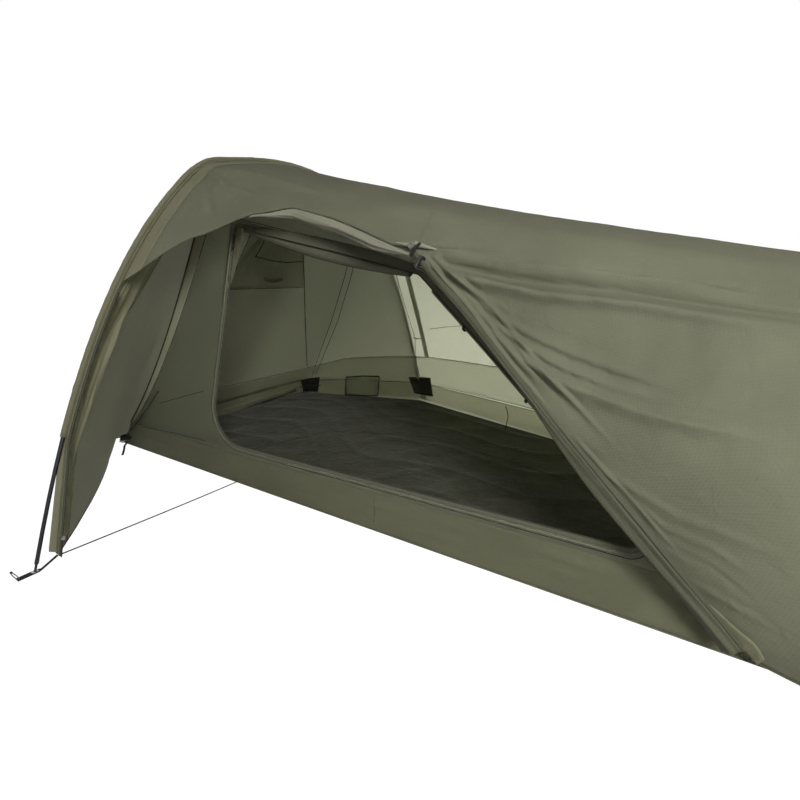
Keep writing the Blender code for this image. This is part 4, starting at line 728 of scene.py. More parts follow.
def weld(mesh):
    """Joins points that coincide, drops loose ones and turns the faces one way."""
    shape = bmesh.new()
    shape.from_mesh(mesh)
    bmesh.ops.remove_doubles(shape, verts=shape.verts, dist=1e-6)
    loose = [v for v in shape.verts if not v.link_faces]
    bmesh.ops.delete(shape, geom=loose, context="VERTS")
    bmesh.ops.recalc_face_normals(shape, faces=shape.faces)
    shape.to_mesh(mesh)
    shape.free()


def stand_for(piece, nodes):
    """Hides the CAD nodes that a piece takes the place of."""
    if nodes:
        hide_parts(*nodes)
    return piece


def sheet(name, grid, material, nodes=(), thickness=TRIM_CLOTH, keep=None, wrap=False,
          welded=False):
    """A grid of points as a piece of cloth with a thickness."""
    mesh = grid_mesh(name, grid, keep, wrap)
    if welded:
        weld(mesh)
    piece = put(name, mesh, material)
    wall = piece.modifiers.new("Cloth", "SOLIDIFY")
    wall.thickness = thickness
    wall.offset = 0.0
    return stand_for(piece, nodes)


def cloth(name, grid, material, nodes, thickness=CLOTH, keep=None, wrap=False):
    """One of the tent's own sheets: a welded piece of cloth that takes the place of some CAD nodes."""
    piece = sheet(name, grid, material, nodes, thickness, keep, wrap, welded=True)
    su, sv = measure(grid)
    return piece


def tape(name, line, across, width, material, nodes=(), thickness=0.0009, rows=2):
    """A flat band along a line; across is the direction of its width."""
    whole = unit(np.asarray(across, float)) * width
    grid = np.stack([line + whole * s for s in np.linspace(-0.5, 0.5, rows + 1)])
    return sheet(name, grid, material, nodes, thickness)


def smooth_line(stops, count):
    """A smooth line through a few points, evenly spaced."""
    stops = np.array(stops, float)
    if len(stops) == 2:
        return lerp(stops[0], stops[1], span(count))
    pads = np.vstack([2 * stops[0] - stops[1], stops, 2 * stops[-1] - stops[-2]])
    s = np.linspace(0, 1, 24, endpoint=False)[:, None]
    fine = []
    for k in range(1, len(pads) - 2):
        a, b, c, d = pads[k - 1 : k + 3]
        bend = (2 * a - 5 * b + 4 * c - d) * s**2 + (3 * b - a - 3 * c + d) * s**3
        fine.append(0.5 * (2 * b + (c - a) * s + bend))
    fine = np.vstack([*fine, stops[-1:]])
    lengths = run_of(fine)
    return along_line(fine, lengths, np.linspace(0, lengths[-1], count))


def pixel_line(pixels, count):
    return smooth_line([(x, y, 0.0) for x, y in pixels], count)[:, :2]


def length_of(line):
    return float(np.linalg.norm(np.diff(np.array(line, float), axis=0), axis=1).sum())


def tube(name, line, radius, material, nodes=(), sides=8):
    """A round cord or binding along a line, closed at both ends; its radius may change along it."""
    line = np.asarray(line, float)
    along = unit(np.gradient(line, axis=0))
    side = np.zeros_like(along)
    side[0] = unit(np.cross(along[0], (0, 0, 1) if abs(along[0][2]) < 0.9 else (1, 0, 0)))
    for k in range(1, len(line)):
        side[k] = unit(side[k - 1] - along[k] * (side[k - 1] @ along[k]))
    other = np.cross(along, side)
    angles = np.linspace(0, 2 * np.pi, sides, endpoint=False)
    ring = side[:, None] * np.cos(angles)[None, :, None] + other[:, None] * np.sin(angles)[None, :, None]
    radii = np.broadcast_to(np.asarray(radius, float), len(line))
    grid = line[:, None] + ring * radii[:, None, None]
    caps = [np.repeat(grid[k : k + 1].mean(axis=1, keepdims=True), sides, axis=1) for k in (0, -1)]
    mesh = grid_mesh(name, np.concatenate([caps[0], grid, caps[1]]), wrap=True)
    weld(mesh)
    return stand_for(put(name, mesh, material), nodes)


def tree_of(*pieces):
    """The sheets' own faces, for laying things on them."""
    corners, faces = [], []
    for piece in pieces:
        start = len(corners)
        corners += [v.co.copy() for v in piece.data.vertices]
        faces += [[start + k for k in p.vertices] for p in piece.data.polygons]
    return BVHTree.FromPolygons(corners, faces)


def meet(tree, x, y):
    """Where the line of sight through a pixel meets a sheet, and the sheet's normal, camera side."""
    look = sight(x, y)
    place, normal, _, _ = tree.ray_cast(CAMERA_PLACE, look)
    if place is None:
        return None, None
    return place, -normal if normal.dot(look) > 0 else normal


def trace(tree, pixels, lift, step=5.0):
    """A line drawn in the photograph, laid on a sheet: its points and the sheet's normals, camera side."""
    spots, facing = [], []
    for (xa, ya), (xb, yb) in zip(pixels, pixels[1:]):
        count = max(int(math.hypot(xb - xa, yb - ya) / step), 1)
        for k in range(count + (1 if (xb, yb) == tuple(pixels[-1]) else 0)):
            place, normal = meet(tree, mix(xa, xb, k / count), mix(ya, yb, k / count))
            if place is not None:
                spots.append(np.array(place + normal * lift))
                facing.append(np.array(normal))
    return np.array(spots), np.array(facing)


def strip_of(grid, distances):
    """The part of a sheet at given distances from the tall hoop's plane, column by column."""
    columns = np.moveaxis(grid, 1, 0)
    return np.stack([along_line(column, np.abs(column[:, 0]), distances) for column in columns], 1)


def on_near_wall(pixels, inwards, count):
    """Where lines of sight through pixels meet the near wall's plane, moved inwards."""
    found = []
    for x, y in pixel_line(pixels, count):
        look = np.array(sight(x, y))
        place = np.array(CAMERA_PLACE)
        for _ in range(12):
            off = float(near_wall_y(place[0], place[2])) + inwards - place[1]
            place = place + look * off / look[1]
        found.append(place)
    return np.array(found)


def on_level(x, y, height):
    """Where the line of sight through a pixel meets a level."""
    look = np.array(sight(x, y))
    place = np.array(CAMERA_PLACE)
    return place + look * (height - place[2]) / look[2]


def between(outer, inner, shares):
    """A grid of rows on the way from one line to another."""
    return np.stack([lerp(outer, inner, np.full(len(outer), s)) for s in shares])


def ripple_sheet(name, grid, material, height, size, seed, stretch):
    """A loose piece of cloth with soft waves."""
    lift = ripples(grid, seed, size, height, stretch)
    return sheet(name, grid + normals_of(grid) * lift[..., None], material)


# Ground cord first: from the tab of the tall hoop's near foot to the groundsheet's edge.


def make_ground_cord():
    tab = fly_point(0.0, HEM_SHARE)
    first = np.array((0, tab[1] + 0.0012, tab[2] - 0.0034))
    last = np.array((0, INNER_NEAR_Y - (HALF_FABRIC + 2 * CLEARANCE), 0.0018))
    s = span(41)
    line = points(0.0, mix(first[1], last[1], s), mix(last[2], first[2], (1 - s) ** 1.4))
    radius = GROUND_CORD_DIAMETER / 2
    cord = tube("tension_cord", line, radius, GREY_CORD, ("ground_cord",), sides=12)
    round(length_of(line), 3)


make_ground_cord()


# Fly.

SIDE_FOLDS = (
    ([(0.655, -0.345, 0.690), (0.749, -0.321, 0.674), (0.826, -0.307, 0.662)], 0.010, 0.006),
    ([(0.665, -0.343, 0.678), (0.815, -0.319, 0.652), (0.914, -0.304, 0.634), (1.056, -0.277, 0.618),
      (1.265, -0.247, 0.587)], 0.016, 0.008),
    ([(0.675, -0.351, 0.662), (0.752, -0.341, 0.645), (0.836, -0.33, 0.626), (0.918, -0.316, 0.615),
      (1.059, -0.291, 0.6), (1.266, -0.264, 0.565), (1.42, -0.24, 0.54)], 0.015, -0.010),
    ([(0.72, -0.345, 0.632), (0.896, -0.328, 0.594), (1.063, -0.302, 0.577),
      (1.268, -0.276, 0.543)], 0.018, 0.006),
    ([(0.78, -0.353, 0.578), (0.849, -0.352, 0.535), (0.909, -0.349, 0.506), (0.963, -0.346, 0.485),
      (1.04, -0.342, 0.461), (1.168, -0.335, 0.431)], 0.014, -0.008),
    ([(0.84, -0.355, 0.500), (0.95, -0.35, 0.440), (1.10, -0.345, 0.400), (1.30, -0.34, 0.38)], 0.024, 0.005),
    ([(1.10, -0.364, 0.245), (1.148, -0.364, 0.213), (1.219, -0.369, 0.198),
      (1.291, -0.376, 0.166)], 0.010, 0.002),
    ([(1.14, -0.366, 0.185), (1.22, -0.37, 0.165), (1.30, -0.376, 0.120)], 0.010, -0.0015),
    ([(0.662, -0.352, 0.672), (0.760, -0.356, 0.585), (0.850, -0.358, 0.480),
      (0.960, -0.362, 0.370)], 0.009, 0.006),
    ([(0.668, -0.350, 0.675), (0.790, -0.352, 0.580), (0.885, -0.356, 0.478),
      (0.985, -0.360, 0.390)], 0.007, -0.005),
    ([(0.674, -0.348, 0.678), (0.820, -0.350, 0.570), (0.930, -0.354, 0.455),
      (1.070, -0.360, 0.330)], 0.010, 0.006),
    ([(0.740, -0.352, 0.620), (0.800, -0.354, 0.560), (0.850, -0.356, 0.500)], 0.006, 0.004),
    ([(0.990, -0.362, 0.345), (1.080, -0.364, 0.262), (1.180, -0.366, 0.165)], 0.008, 0.0025),
    ([(0.665, -0.346, 0.688), (0.760, -0.335, 0.662), (0.900, -0.318, 0.640)], 0.006, -0.004),
    ([(0.690, -0.350, 0.655), (0.780, -0.350, 0.600), (0.900, -0.348, 0.545),
      (1.050, -0.345, 0.500)], 0.010, 0.007),
    ([(0.800, -0.355, 0.545), (0.930, -0.352, 0.470), (1.080, -0.350, 0.420)], 0.010, -0.006),
    ([(0.668, -0.352, 0.668), (0.720, -0.356, 0.610), (0.775, -0.358, 0.545)], 0.005, -0.004),
    ([(1.02, -0.362, 0.300), (1.16, -0.366, 0.240), (1.34, -0.372, 0.210)], 0.016, 0.0022),
    ([(1.16, -0.366, 0.135), (1.26, -0.372, 0.110), (1.40, -0.380, 0.075)], 0.010, 0.0018),
)
VALANCE_FOLDS = (
    ([(0.016, -0.372, 0.900), (0.09, -0.415, 0.835), (0.161, -0.453, 0.756)], 0.012, -0.005),
    ([(0.016, -0.368, 0.902), (0.12, -0.385, 0.855), (0.24, -0.375, 0.800)], 0.014, 0.006),
    ([(0.016, -0.376, 0.895), (0.06, -0.44, 0.815), (0.110, -0.485, 0.735)], 0.010, 0.005),
    ([(0.016, -0.350, 0.910), (0.18, -0.330, 0.870), (0.40, -0.310, 0.820)], 0.020, 0.006),
    ([(0.010, -0.50, 0.780), (0.06, -0.53, 0.720), (0.085, -0.55, 0.69)], 0.012, -0.005),
)
FAR_FOLDS = (
    ([(0.02, 0.372, 0.900), (0.35, 0.42, 0.80), (0.80, 0.40, 0.66)], 0.030, 0.008),
    ([(0.02, 0.80, 0.30), (0.40, 0.66, 0.36), (0.90, 0.52, 0.36)], 0.040, -0.008),
    ([(1.50, 0.20, 0.60), (1.20, 0.26, 0.62), (0.80, 0.30, 0.70)], 0.026, 0.006),
    ([(1.50, 0.40, 0.10), (1.15, 0.50, 0.22), (0.70, 0.62, 0.30)], 0.030, 0.007),
)


def make_fly_between_hoops():
    """One continuous sheet: far side, roof, and the near side beyond the door."""
    edge_xs = np.array((TUCK, 0.0078, FLY_EDGE, 0.013, 0.020))
    low_xs = np.concatenate([edge_xs, np.linspace(0.028, GATHER_X, 92)])
    high_xs = np.concatenate([np.linspace(GATHER_X, FOOT_HOOP_X - 0.028, 150), FOOT_HOOP_X - edge_xs[::-1]])
    side_rows = np.linspace(1, 0.0, 96)
    roof_rows = np.concatenate([np.linspace(0, 0.26, 64, endpoint=False), np.linspace(0.26, 1, 54)])
    columns = []
    for x in np.concatenate([low_xs[:-1], high_xs]):
        t_low = float(door_top_share(x))
        roof = fly_point(np.full(roof_rows.shape, x), mix(t_low, 1 - HEM_SHARE, roof_rows))
        if x >= GATHER_X:
            a = min((x - GATHER_X) / (FOOT_HOOP_X - FLY_EDGE - GATHER_X), 1.0)
            side = near_side_point(np.full(side_rows.shape, a), side_rows)
        else:
            side = fly_point(np.full(side_rows.shape, x), mix(t_low, t_low - 0.10, side_rows))
        columns.append(np.concatenate([side[:-1], roof]))
    grid = np.array(columns)
    normal = normals_of(grid)
    lift = waves(grid, (3, 0.30, 0.0045), (5, 0.10, 0.0024), (6, 0.045, 0.0010))
    for line, width, height in SIDE_FOLDS + VALANCE_FOLDS + FAR_FOLDS:
        lift += FOLD_STRENGTH * fold(grid, normal, line, width, height)
    x = grid[..., 0]
    hold = ease((x - FLY_EDGE) / 0.11) * ease((FOOT_HOOP_X - FLY_EDGE - x) / 0.06)
    tucked = np.where(np.minimum(x, FOOT_HOOP_X - x) < HELD_EDGE, -HELD_DEPTH, 0.0)
    grid = grid + normal * (softened(lift) * hold + tucked)[..., None]
    edge, near_rows = len(side_rows) - 1, len(low_xs) - 1
    keep = np.ones((grid.shape[0] - 1, grid.shape[1] - 1), bool)
    keep[:near_rows, :edge] = False
    piece = cloth("fly_canopy", grid, CANOPY, ("fly_roof_far", "fly_roof_near", "fly_side_near"),
                  keep=keep)
    tube("door_top_edging", grid[: near_rows + 1, edge][2:], 0.0012, FLY_HEM)
    tube("far_side_hem", grid[2:-2, -1], HEM_RADIUS, FLY_HEM)
    tube("near_side_hem", grid[near_rows:-2, 0], HEM_RADIUS, FLY_HEM)
    roof = grid[:, edge:]
    near = roof[:, : roof.shape[1] * 62 // 100]
    hoop_facing("hoop_facing", "hoop_facing_seam", near, (0.0096, FACING_WIDTH, 9), 0.0011, TAN)
    return piece


def hoop_facing(name, seam_name, grid, reach, lift, material):
    """The strip of cloth along the tall hoop, on a sheet's outer or inner face, and its edge's seam."""
    facing = strip_of(grid, np.linspace(*reach))
    facing = facing + normals_of(facing) * lift
    sheet(name, facing, material)
    seam = facing[-1] + normals_of(facing)[-1] * math.copysign(EDGE_GAP, lift)
    tube(seam_name, seam, 0.0010, PALE_TAPE)


def make_fly_head():
    """One continuous sheet from the tall hoop down to the hem round the head end."""
    ts = np.linspace(HEM_SHARE + HEM_CLEARANCE, 1 - HEM_SHARE - HEM_CLEARANCE, 170)
    qs = np.concatenate([[0.0, 0.006, 0.014], np.linspace(0.022, 1, 73)])

    def panel(q, t):
        reach = np.maximum(-head_hem(t)[..., 0], TUCK * 1.02)
        return head_point(mix(TUCK / reach, 1, q), t)

    grid = grid_of(panel, qs, ts)
    lift = waves(grid, (11, 0.22, 0.006), (12, 0.08, 0.0022), (13, 0.04, 0.0009))
    q = qs[:, None]
    hold = ease(q / 0.08) * (0.35 + 0.65 * ease((1 - q) / 0.10))
    tucked = np.where(-grid[..., 0] < HELD_EDGE, -HELD_DEPTH, 0.0) * ease((ts - HEM_SHARE) / 0.05)
    grid = grid + normals_of(grid) * (softened(lift) * hold + tucked)[..., None]
    grid[..., 2] = np.maximum(grid[..., 2], LEAST_HEIGHT)
    nodes = ("fly_head_near", "fly_head_end", "fly_head_far")
    piece = cloth("fly_head_canopy", grid, HEAD_CANOPY, nodes)
    tube("head_hem", grid[-1], 0.0023, EDGING)
    near = grid[:, : grid.shape[1] * 56 // 100]
    # The inner facing's paler cloth is painted light.
    hoop_facing("hoop_inner_facing", "hoop_inner_seam", near, (TUCK, 0.036, 8), -0.0013, PAINTED_LIT_FACING)
    return piece


def make_fly_foot():
    def panel(s, t):
        top = fly_point(FOOT_HOOP_X, t)
        point = lerp(top, points(FOOT_HOOP_X + FOOT_SKIRT, top[..., 1] * 0.94, FOOT_SKIRT_HEIGHT), s)
        point[..., 0] += FOOT_EDGE * (1 - s)
        return point

    ts = np.linspace(HEM_SHARE + HEM_CLEARANCE, 1 - HEM_SHARE - HEM_CLEARANCE, 100)
    grid = grid_of(panel, span(44), ts)
    s = span(44)[:, None]
    lift = waves(grid, (21, 0.16, 0.005), (22, 0.06, 0.0018))
    lift = np.maximum(lift, -0.003) * ease(s / 0.12) * (0.4 + 0.6 * (1 - s))
    grid = grid + normals_of(grid) * lift[..., None]
    grid[..., 2] = np.maximum(grid[..., 2], LEAST_HEIGHT)
    tube("foot_hem", grid[-1], 0.0018, FLY_HEM)
    cloth("fly_foot_canopy", grid, FLY, ("fly_foot_end",))


fly_canopy = make_fly_between_hoops()
fly_head = make_fly_head()
make_fly_foot()


# Sleeves over the poles.


def hoop_stations(half_span, height, x, count):
    u, v = arch_at(np.arange(801) / 800)
    fine = points(x, half_span * u, height * v)
    lengths = run_of(fine)
    return along_line(fine, lengths, np.linspace(TIP_LENGTH, lengths[-1] - TIP_LENGTH, count + 1))


def outwards_from(along):
    """Away from the tent, square to a hoop's line."""
    return points(0.0, -along[:, 2], along[:, 1])


def hoop_frames(stations):
    ahead, behind = np.vstack([stations[1:], stations[-1:]]), np.vstack([stations[:1], stations[:-1]])
    return stations, outwards_from(unit(ahead - behind))


def frames_above(place, height):
    """The frames of a hoop above a height, cut exactly there, then six times as many."""
    inside = [k for k in range(len(place)) if place[k][2] > height + LEAST_STEP]
    first, last = inside[0], inside[-1]

    def crossing(low, high):
        return mix(place[low], place[high], (height - place[low][2]) / (place[high][2] - place[low][2]))

    rows = np.vstack([crossing(first - 1, first), place[first : last + 1], crossing(last + 1, last)])
    line = smooth_line(rows, (len(rows) - 1) * 6 + 1)
    return line, outwards_from(unit(np.gradient(line, axis=0)))


MAIN_STATIONS = hoop_stations(HOOP_HALF_SPAN, HOOP_HEIGHT, 0.0, MAIN_PARTS)
FOOT_STATIONS = hoop_stations(FOOT_HALF_SPAN, FOOT_HEIGHT, FOOT_HOOP_X, FOOT_PARTS)


def sleeve(name, stations, end_height, node, seed):
    """The strip over the pole: flange, loose arc, flange, with short puckers across it."""
    place, outwards = frames_above(stations, end_height)
    low = math.radians(-48)
    angles = low + (math.pi - 2 * low) * span(15)
    arc_radius = SLEEVE_ARC * 1.04
    flange = np.linspace(SLEEVE_WIDTH / 2, arc_radius * math.cos(low), 4)[:-1]
    drop = np.linspace(-FLANGE_DEPTH, arc_radius * math.sin(low), 4)[:-1]
    across = np.concatenate([flange, arc_radius * np.cos(angles), -flange[::-1]])
    out = np.concatenate([drop, arc_radius * np.sin(angles), drop[::-1]])
    arc = np.concatenate([np.zeros(3), np.maximum(np.sin(angles), 0), np.zeros(3)])
    length = run_of(place)
    random = np.random.default_rng(seed)
    pucker = sum(
        np.maximum(np.sin(length / size * 2 * np.pi + random.uniform(0, 6)), 0) ** 2 * 0.0004
        for size in (0.083, 0.052, 0.031)
    )
    rise = out[None, :] + arc[None, :] * pucker[:, None]
    grid = place[:, None] + outwards[:, None] * rise[..., None] + points(across, 0.0, 0.0)[None]
    sheet(name, grid, SLEEVE, (node,), SLEEVE_CLOTH, welded=True)
    return place, outwards


def with_low_end(line, count):
    """A line whose first stretch, from the hem to the sleeve, has more points."""
    return np.vstack([lerp(line[0], line[1], np.linspace(0, 1, count, endpoint=False)), line[1:]])


def lining(name, line, material, node):
    tape(name, line, AHEAD, SLEEVE_WIDTH, material, (node,), SLEEVE_CLOTH, 4)


def make_sleeves():
    main, main_out = sleeve("main_sleeve", MAIN_STATIONS, SLEEVE_END_HEIGHT, "main_pole_sleeve", 31)
    foot_end = SLEEVE_END_HEIGHT * FOOT_HEIGHT / HOOP_HEIGHT
    sleeve("foot_sleeve", FOOT_STATIONS, foot_end, "foot_pole_sleeve", 32)
    place, outwards = hoop_frames(MAIN_STATIONS)
    low, high = HEM_HEIGHT + LEAST_STEP, SLEEVE_END_HEIGHT - LEAST_STEP
    tail = [k for k in range(len(place)) if place[k][1] > 0 and low < place[k][2] < high]
    under = main - main_out * LINING_DEPTH
    line = np.vstack([fly_point(0.0, HEM_SHARE), under, place[tail] - outwards[tail] * LINING_DEPTH])
    lining("main_lining", with_low_end(line, 20), SLEEVE, "main_sleeve_lining")
    share = span(30)
    edge = lerp(fly_point(0.0, HEM_SHARE) + np.array((0, 0, 0.004)), under[0], share)
    out = 0.0165 * ease(share / 0.04) * (1 - ease((share - 0.90) / 0.10)) * (1 - 0.35 * share)
    grid = np.stack([edge + points(-0.002, -out * s, 0.0) for s in span(6)])
    sheet("free_edge_strip", grid, TAN, thickness=0.0009)
    place, outwards = hoop_frames(FOOT_STATIONS)
    line = (place - outwards * LINING_DEPTH)[place[:, 2] > HEM_HEIGHT + 0.02]
    lining("foot_lining", line, OLIVE_TAPE, "foot_sleeve_lining")


make_sleeves()


# Rolled and gathered cloth.


def towards_door(along):
    """The direction nearest to the door side's that is square to a line."""
    return unit(np.array((0, -1.0, 0)) + along * along[..., 1:2])


def rolled_cloth(name, path, half_widths, half_depths, material, node, turns, ridges, seed, bold,
                 start=0.0, twist=0.0):
    """Cloth rolled up along a path: a sheet whose section winds inwards, with long ridges on its outside."""
    along = unit(np.gradient(path, axis=0))
    depth = towards_door(along)
    width = np.cross(along, depth)
    angle = start + np.linspace(0, 2 * np.pi * turns, ROLL_COLUMNS)
    wind = (angle - start) / (2 * np.pi * turns)
    random = np.random.default_rng(seed)
    s = span(len(path))
    radius = np.tile((1.0 - 0.36 * wind)[None, :], (len(path), 1))
    for k in range(ridges):
        centre = 2 * np.pi * (k + 0.5) / ridges + 0.5 * np.sin(2.1 * s + random.uniform(0, 6)) + twist * s
        sharp = random.uniform(5, 16) * (1 + 1.2 * abs(twist))
        most = bold * random.uniform(0.10, 0.22)
        high = most * (0.7 + 0.3 * np.sin(s * random.uniform(4, 12) + random.uniform(0, 6)))
        near = np.cos(angle[None, :] - centre[:, None])
        radius += high[:, None] * (np.exp(sharp * (near - 1)) - 0.35 * np.exp(0.5 * sharp * (near - 1)))
    radius += 0.02 * np.sin(angle[None, :] * 13 + 9 * s[:, None])
    radius *= ROLL_GROWTH / radius.max()
    out = width[:, None] * (half_widths[:, None] * radius * np.cos(angle))[..., None]
    out = out + depth[:, None] * (half_depths[:, None] * radius * np.sin(angle))[..., None]
    cloth(name, path[:, None] + out, material, (node,), TRIM_CLOTH)


DOOR_ROLL_WIDTHS = ((0, 0.018), (0.15, 0.020), (0.42, 0.028), (0.58, 0.052), (0.72, 0.060), (0.88, 0.052),
                    (1, 0.054))


def door_roll_path(s, deep):
    """The middle of the door's roll, which its band holds off the fly near the gather."""
    path = roll_point(s)
    band = DOOR_BAND_THICKNESS * np.maximum(0.0, 1 - s / DOOR_BAND_SHARE)
    path[:, 1] -= deep * ROLL_GROWTH + ROLL_GAP + band
    return path


def make_rolls():
    s = np.linspace(0.0, 0.965, 120)
    half = np.interp(s, *zip(*DOOR_ROLL_WIDTHS)) / 2 / ROLL_GROWTH
    plain = mix(ROLL_TOP_WIDTH, ROLL_LOW_WIDTH, s)
    deep = np.minimum(half * 0.72, plain / 2 / ROLL_GROWTH * ROLL_FLATNESS_RATIO * 1.25)
    path = door_roll_path(s, deep)
    sway = 0.0035 * np.sin(s * 7.5 + 0.6) * ease(s / 0.2)
    path[:, 0] += sway + 0.004 * ease(s / 0.2) * (1 - ease((s - 0.5) / 0.3))
    rolled_cloth("rolled_door", path, half, deep, PAINTED_SHADE_ROLL, "fly_door_roll", 1.8, 7, 41, 3.2, 2.4, 1.5)

    s = span(70)
    x = mix(0.235, GATHER_X - 0.012, s)
    radius = 0.0135 * (0.12 + 0.88 * ease(s / 0.34)) * (1 - 0.60 * ease((s - 0.74) / 0.26))
    under = radius * ROLL_GROWTH + ROLL_GAP
    path = fly_point(x, door_top_share(x)) + under[:, None] * np.array((0, 0.35, -0.94))
    rolled_cloth("gathered_door_top", path, radius, radius, FOLDED, "fly_door_top_fold",
                 1.5, 9, 42, 2.2)

    (left, _), _, (right, _), (top_right, _) = INNER_DOOR
    x = mix(0.108, 0.582, s)
    z = mix(left[1], top_right[1], (x - left[0]) / (top_right[0] - left[0]))
    z = z - 0.014 - 0.010 * 4 * s * (1 - s)
    radius = 0.0145 * (0.55 + 0.45 * np.sin(np.pi * s))
    path = near_wall_point(x, z, HALF_FABRIC + radius * ROLL_GROWTH + EDGE_GAP)
    rolled_cloth("inner_roll_top", path, radius, radius, INNER_ROLL, "inner_door_top_roll",
                 1.7, 5, 43, 1.6)

    s = np.linspace(*SIDE_ROLL_SPAN, 90)
    x, z = mix(top_right[0], right[0], s), mix(top_right[1], right[1], s)
    radius = np.full(s.shape, SIDE_ROLL_RADIUS)
    path = near_wall_point(x - 0.006, z, HALF_FABRIC + 0.020 * ROLL_GROWTH + 0.0034)
    rolled_cloth("inner_roll_side", path, radius, radius, INNER_ROLL, "inner_door_side_roll",
                 1.8, 5, 44, 1.4)
    return path


side_roll_path = make_rolls()


def tie(name, path, share, half_width, half_depth, node):
    """A flat band round a roll."""
    place = share * (len(path) - 1)
    k = min(int(place), len(path) - 2)
    middle = mix(path[k], path[k + 1], place - k)
    along = unit(path[k + 1] - path[k])
    depth = towards_door(along)
    across = np.cross(along, depth)
    angles = np.linspace(0, 2 * np.pi, 49)
    ring = middle + across * half_width * np.cos(angles)[:, None]
    ring = ring + depth * half_depth * np.sin(angles)[:, None]
    tape(name, ring, along, TIE_WIDTH, BLACK_TAPE, (node,), 0.0012)


def make_ties():
    start, end = SIDE_ROLL_SPAN
    for number, share in enumerate(TIE_SHARES, 1):
        own = (mix(0.09, 0.90, share) - start) / (end - start)
        tie(f"roll_tie_{number}", side_roll_path, own, TIE_RADIUS, TIE_RADIUS, f"inner_door_tie_{number}")
    s = np.linspace(0.015, 0.955, 13)
    half = mix(ROLL_TOP_WIDTH, ROLL_LOW_WIDTH, s) / 2 / ROLL_GROWTH
    deep = half * ROLL_FLATNESS_RATIO
    wide, thick = (mix(a[0], a[1], DOOR_BAND_SHARE) * ROLL_GROWTH + 0.0012 for a in (half, deep))
    tie("door_band", door_roll_path(s, deep), DOOR_BAND_SHARE / 12, wide, thick, "fly_door_band")


make_ties()


# Inner tent.

CORNER_STEPS = 7
STRAIGHT_STEPS = (26, 44, 22, 34)


def resample(line, count):
    line = np.array(line, float)
    lengths = run_of(line)
    return [tuple(p) for p in along_line(line, lengths, np.linspace(0, lengths[-1], count + 1))]


def corner_arc(before, corner, after, radius):
    """A rounded corner, as points on an arc that touches both sides."""
    corner, before, after = Vector(corner), Vector(before), Vector(after)
    back, on = (before - corner).normalized(), (after - corner).normalized()
    half = back.angle(on) / 2
    reach = radius / math.tan(half)
    centre = corner + (back + on).normalized() * radius / math.sin(half)
    start, end = corner + back * reach - centre, corner + on * reach - centre
    turn = start.angle_signed(end)
    arc = []
    for k in range(2 * CORNER_STEPS + 1):
        a = -turn * k / (2 * CORNER_STEPS)
        x = start.x * math.cos(a) - start.y * math.sin(a)
        y = start.x * math.sin(a) + start.y * math.cos(a)
        arc.append((centre.x + x, centre.y + y))
    return arc


def door_sides(inset):
    """The inner door's outline as four sides, each from the middle of one corner to the next."""
    corners = [Vector(corner) for corner, _ in INNER_DOOR]
    moved = []
    for k, corner in enumerate(corners):
        back = (corners[k - 1] - corner).normalized()
        on = (corners[(k + 1) % 4] - corner).normalized()
        half = back.angle(on) / 2
        moved.append(corner + (back + on).normalized() * inset / math.sin(half))
    arcs = []
    for k in range(4):
        radius = INNER_DOOR[k][1] - inset
        arcs.append(corner_arc(moved[k - 1], moved[k], moved[(k + 1) % 4], radius))
    sides = []
    for k, steps in enumerate(STRAIGHT_STEPS):
        start, end = arcs[k][CORNER_STEPS:], arcs[(k + 1) % 4][: CORNER_STEPS + 1]
        sides.append(start[:-1] + resample([start[-1], end[0]], steps) + end[1:])
    return sides


def wall_sides():
    """The near wall's own outline in the same four sides."""
    head = np.linspace(0, INNER_HEAD_TOP_X, 60)
    roof = np.linspace(INNER_FOOT_X, 0, 80)
    foot_top = float(inner_edge_height(np.array(INNER_FOOT_X)))
    return [
        list(zip(head, inner_edge_height(head))),
        [(INNER_HEAD_TOP_X, BATHTUB_HEIGHT), (INNER_FOOT_X, BATHTUB_HEIGHT)],
        [(INNER_FOOT_X, BATHTUB_HEIGHT), (INNER_FOOT_X, foot_top)],
        list(zip(roof, inner_edge_height(roof))),
    ]


def loop_of(sides):
    loop = []
    for side, steps in zip(sides, STRAIGHT_STEPS):
        count = steps + 2 * CORNER_STEPS
        loop += (side if len(side) == count + 1 else resample(side, count))[:-1]
    return np.array(loop)


def ring_grid(outer, inner, rows):
    shares = np.linspace(0, 1, rows + 1)[:, None, None]
    flat = outer[None] * (1 - shares) + inner[None] * shares
    return near_wall_point(flat[..., 0], flat[..., 1])


def door_line(inset, out):
    """A closed line round the door, beside its edge and off the wall."""
    loop = loop_of(door_sides(inset))
    return closed(near_wall_point(loop[:, 0], loop[:, 1], -out))


def make_near_wall():
    door = loop_of(door_sides(0.0))
    wall = loop_of(wall_sides())
    gap = np.linalg.norm(wall - door, axis=1)[:, None]
    grid = ring_grid(wall + (door - wall) * 0.0018 / gap, door, 26)
    lift = waves(grid, (51, 0.12, 0.0022), (52, 0.05, 0.0010))
    grid[..., 1] -= np.maximum(lift, -0.0008) * held_between(span(27)[:, None], 0.15, 0.15)
    panel = cloth("inner_near_panel", grid, INNER, ("inner_near_wall",),
                  wrap=True)
    tape_edges = (loop_of(door_sides(inset)) for inset in (CLEARANCE, CLEARANCE + ZIP_TAPE_WIDTH))
    grid = ring_grid(*tape_edges, 4)
    sheet("door_zip_tape", grid, ZIP_TAPE, ("inner_door_zip_tape",), CLOTH, wrap=True, welded=True)
    tube("door_zip_coil", door_line(0.0112, 0.0010), 0.0012, SEAM_TAPE)
    tube("door_binding", door_line(-0.0030, 0.0012), 0.0022, PALE_TAPE)
    tube("door_binding_2", door_line(-0.0085, 0.0010), 0.0009, SEAM_TAPE)
    return panel


